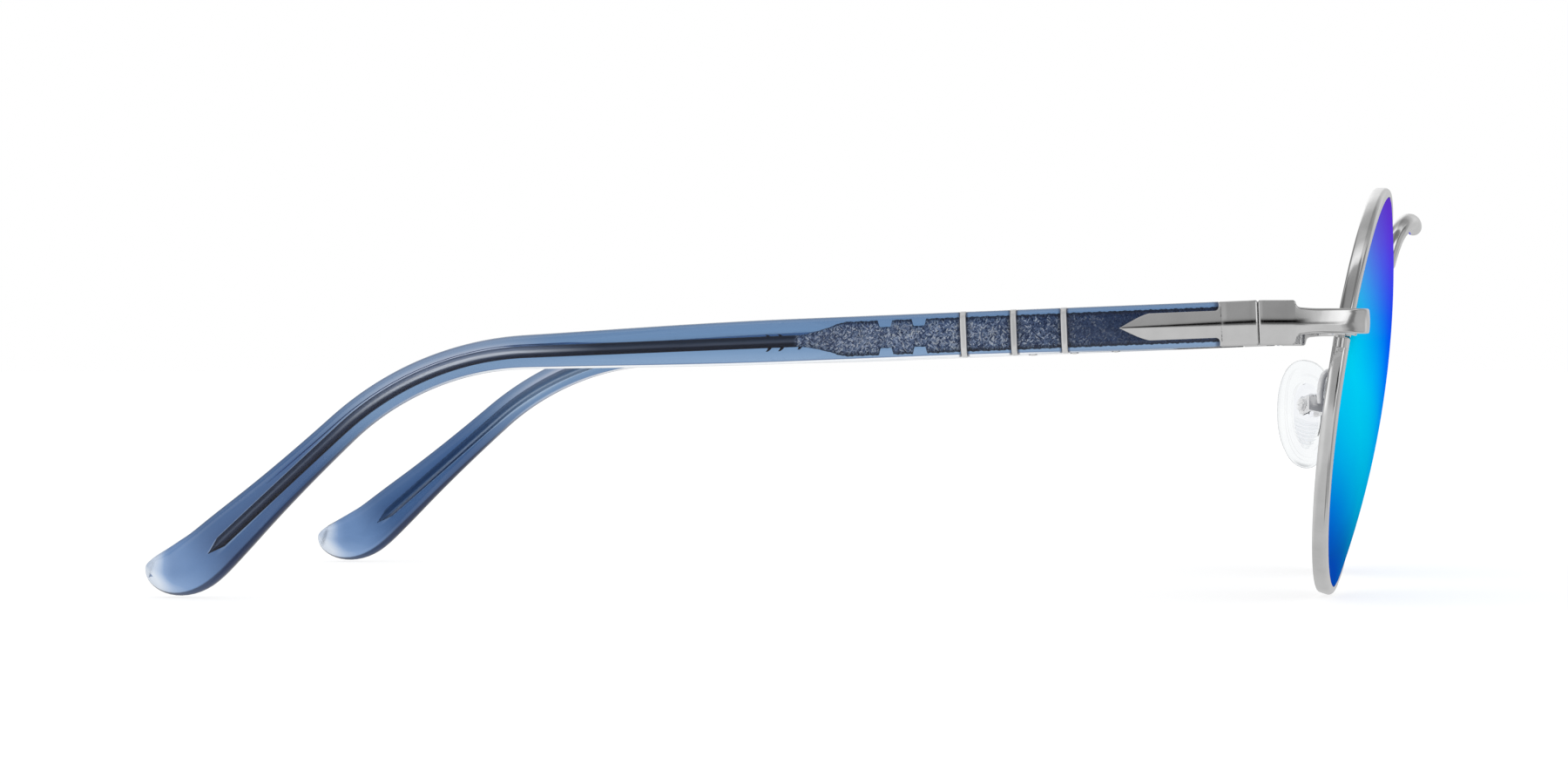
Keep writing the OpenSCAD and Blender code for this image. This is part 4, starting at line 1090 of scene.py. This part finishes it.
def pad_solid(around=96):
    """A soft pad: crowned towards the nose, with two raised outlines on its rear."""
    ball = 2 * PAD_H

    def ring(share, depth):
        points = []
        for k in range(around):
            x, z = (share * c for c in pad_oval(2 * pi * k / around))
            crown = ball - sqrt(ball * ball - x * x - z * z)
            front = -PAD_REACH - PAD_T + crown
            points.append(from_pad((mix(-PAD_REACH, front, depth), x - PAD_FORWARD, z - PAD_LOW)))
        return points

    face = [(share, 1) for share in (0.02, 0.1, 0.2, 0.32, 0.44, 0.56, 0.68, 0.78, 0.86, 0.91, 0.945)]
    edge = [(0.968, 0.95), (0.985, 0.84), (0.997, 0.68), (1, 0.5), (0.997, 0.3), (0.985, 0.14),
            (0.965, 0.03)]
    rear = [(0.94, 0), (0.9, 0), (0.885, 0.03), (0.875, 0.1), (0.865, 0.14), (0.8, 0.15),
            (0.74, 0.15), (0.725, 0.12), (0.71, 0.05), (0.7, 0.02), (0.66, 0.01), (0.61, 0.01),
            (0.6, 0.04), (0.585, 0.13), (0.57, 0.16), (0.45, 0.17), (0.3, 0.17), (0.15, 0.17), (0.02, 0.17)]
    return loft([ring(share, depth) for share, depth in face + edge + rear])


RIB_TOP, RIB_PITCH = -1.1, 0.52


def rib(z):
    """A thin curved rib across the lower half of the pad's rear."""
    reach = PAD_W * 0.27 * sqrt(max(0.05, 1 - (z / (PAD_H * 0.31)) ** 2))
    rings = []
    for t in shares(14, 0):
        e = 2 * t - 1
        middle = Vector((-PAD_REACH - 0.12, -PAD_FORWARD + e * reach, -PAD_LOW + z - 0.35 * (1 - e * e)))
        outline = circle(0.12 * sqrt(max(0.05, 1 - e ** 8)), 8)
        rings.append([from_pad(middle + Vector((x, 0, up))) for x, up in outline])
    return loft(rings)


ribs = join(*[rib(RIB_TOP - RIB_PITCH * k) for k in range(7)])
both("pad_body", make_mesh(pad_solid(), 55), "pad_{}", [silicone], "pad_silicone", "nose_pad_{}")
both("pad_ribs", make_mesh(ribs, 60), "pad_{}", [silicone], "pad_silicone")

# ---- nodes kept from the CAD
insert, n = material("pad_insert", {"Transmission Weight": 1, "IOR": 1.005, "Roughness": 0})
tint = n.ramp(n.noise(n.place(), 300), [(0.3, 251, 251, 252), (0.7, 254, 254, 255)])
n.give("Base Color", tint)
n.rough(1200, 0.02, 0.08)
# each node's finish, and the width of its softened edges
kept = {"front_leaf": (hinge_steel, 0.06), "temple_leaf": (hinge_steel, 0.06),
        "hinge_screw": (screw_steel, 0.04), "rim_lock": (frame_metal, 0.08),
        "rim_screw": (screw_steel, 0.04), "pad_box": (pad_metal, 0.12),
        "pad_screw": (pad_metal, 0.05), "pad_core": (insert, 0.08)}
for base, (finish, width) in kept.items():
    for side in ("left", "right"):
        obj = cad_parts[f"{base}_{side}"]
        if not obj.material_slots:
            obj.data.materials.append(finish)
        for place in obj.material_slots:
            place.material = finish
        edge = obj.modifiers.new("edge", "BEVEL")
        edge.width, edge.segments, edge.use_clamp_overlap = width * MM, 2, True
        edge.limit_method, edge.angle_limit = "ANGLE", radians(40)

# ---- floor, light and camera
floor_mat, n = material("pale_floor", {"Roughness": 0.9, "Specular IOR Level": 0.1})
n.give("Base Color", n.ramp(n.noise(n.place(), 3), [(0.3, 0.3), (0.7, 0.32)]))
n.give("Emission Strength", 0.76)
reach = 6
corners = [(-reach, -reach, 0), (reach, -reach, 0), (reach, reach, 0), (-reach, reach, 0)]
floor_mesh = bpy.data.meshes.new("floor")
floor_mesh.from_pydata(corners, [], [(0, 1, 2, 3)])
floor_mesh.materials.append(floor_mat)
floor = add_object("floor", floor_mesh)
floor.visible_glossy = False
floor.visible_transmission = False

world = bpy.data.worlds.new("studio")
scene.world = world
world.use_nodes = True
world.node_tree.nodes.clear()
n = Nodes(world.node_tree)
x, y, z = n.split(n.add("ShaderNodeTexCoord").outputs["Generated"])
paths = n.add("ShaderNodeLightPath").outputs


def tones(value, *stops):
    """Grey levels at places from -1 to 1."""
    return n.ramp(n.share(value), [((place + 1) / 2, tone) for place, tone in stops], "EASE")


# What shines in the metal: light and grey screens overhead, grey below, and beside the temples two
# grey cards with a black line between them, and light before and behind them.
over = tones(x, (-0.6, 0.34), (-0.32, 0.3), (-0.14, 0.36), (-0.06, 0.95), (0, 1.05), (0.08, 0.85),
             (0.22, 0.55), (0.4, 0.46), (0.56, 0.48), (0.72, 0.75), (0.88, 1.05))
rows = tones(y, (-0.75, 0.8), (-0.5, 0.72), (-0.15, 0.6), (0.12, 1), (0.34, 1), (0.46, 0.5),
             (0.8, 0.5))
over = n.blend(1, over, rows, "MULTIPLY")
under = tones(y, (-0.9, 0.72), (-0.7, 0.6), (0.5, 0.57), (0.75, 0.7), (1, 0.7))
shade = n.times(n.band(y, -0.7, -0.55, -0.27, -0.21), n.span(z, -0.5, -0.62), n.span(x, 0.02, -0.12))
under = n.blend(n.times(shade, 0.8), under, (0.2, 0.2, 0.2, 1))
room = n.blend(n.span(z, -0.05, 0.2), under, over)
high = tones(y, (-1, 0.47), (-0.9, 0.45), (-0.84, 0.2), (-0.8, 0.19), (-0.77, 0.3), (-0.72, 1.05),
             (-0.64, 1.2), (-0.5, 1.08), (-0.36, 0.87), (-0.28, 0.62), (-0.2, 0.47), (-0.1, 0.36),
             (0, 0.33), (0.14, 0.45), (0.3, 0.4), (0.48, 0.43), (0.56, 0.55), (0.62, 0.95),
             (0.74, 1.2), (0.85, 1))
low = tones(y, (-1, 0.5), (-0.95, 0.47), (-0.86, 0.4), (-0.82, 0.22), (-0.78, 0.22), (-0.72, 0.46),
            (-0.62, 0.66), (-0.2, 0.66), (0, 0.64), (0.5, 0.62), (0.62, 0.78), (0.85, 0.76))
west = n.blend(n.span(z, -0.16, -0.02), low, high)
line = tones(z, (-0.2, 0.55), (-0.14, 0.16), (-0.01, 0.13), (0.01, 0.004), (0.2, 0.004), (0.26, 0.2))
thin = n.times(n.span(y, -0.14, -0.24), n.most(n.span(z, 0.06, 0.14), n.span(z, -0.02, -0.1)))
strength = n.times(n.span(y, 0.3, 0.12), n.band(z, -0.26, -0.18, 0.24, 0.32), n.minus(1, thin))
fall = tones(y, (-0.76, 0), (-0.66, 0.3), (-0.5, 0.5), (-0.37, 0.6), (-0.2, 0.62), (-0.1, 1))
west = n.blend(n.times(strength, fall), west, line)
side = n.most(n.span(x, -0.36, -0.5), n.times(n.span(y, -0.68, -0.78), n.span(x, 0.5, 0.3)))
shine = n.blend(n.times(side, n.band(z, -0.74, -0.55, 0.62, 0.74)), room, west)
# what is seen through the clear pieces: a white backdrop, a little darker far above and below
through = tones(z, (-1, 0.7), (-0.7, 0.9), (-0.4, 1), (0.4, 1), (0.7, 0.9), (1, 0.7))
colour = n.blend(paths["Is Transmission Ray"], shine, through)
colour = n.blend(paths["Is Diffuse Ray"], colour, (0.95, 0.96, 0.98, 1))
colour = n.blend(paths["Is Camera Ray"], colour, (1, 1, 1, 1))
light = n.add("ShaderNodeBackground", {"Color": colour})
n.add("ShaderNodeOutputWorld", {"Surface": light.outputs[0]})
scene.view_settings.view_transform = "Standard"

camera_data = bpy.data.cameras.new("camera")
camera_data.sensor_width, camera_data.lens = 36, 121
camera_data.clip_start = 0.02
camera_data.shift_y = -0.0279
camera = add_object("camera", camera_data)
camera.location = (-0.693, (0.2 - MID_Y) * MM, 0.0307)
camera.rotation_euler = (radians(90), 0, radians(6.15 - 90))
scene.camera = camera
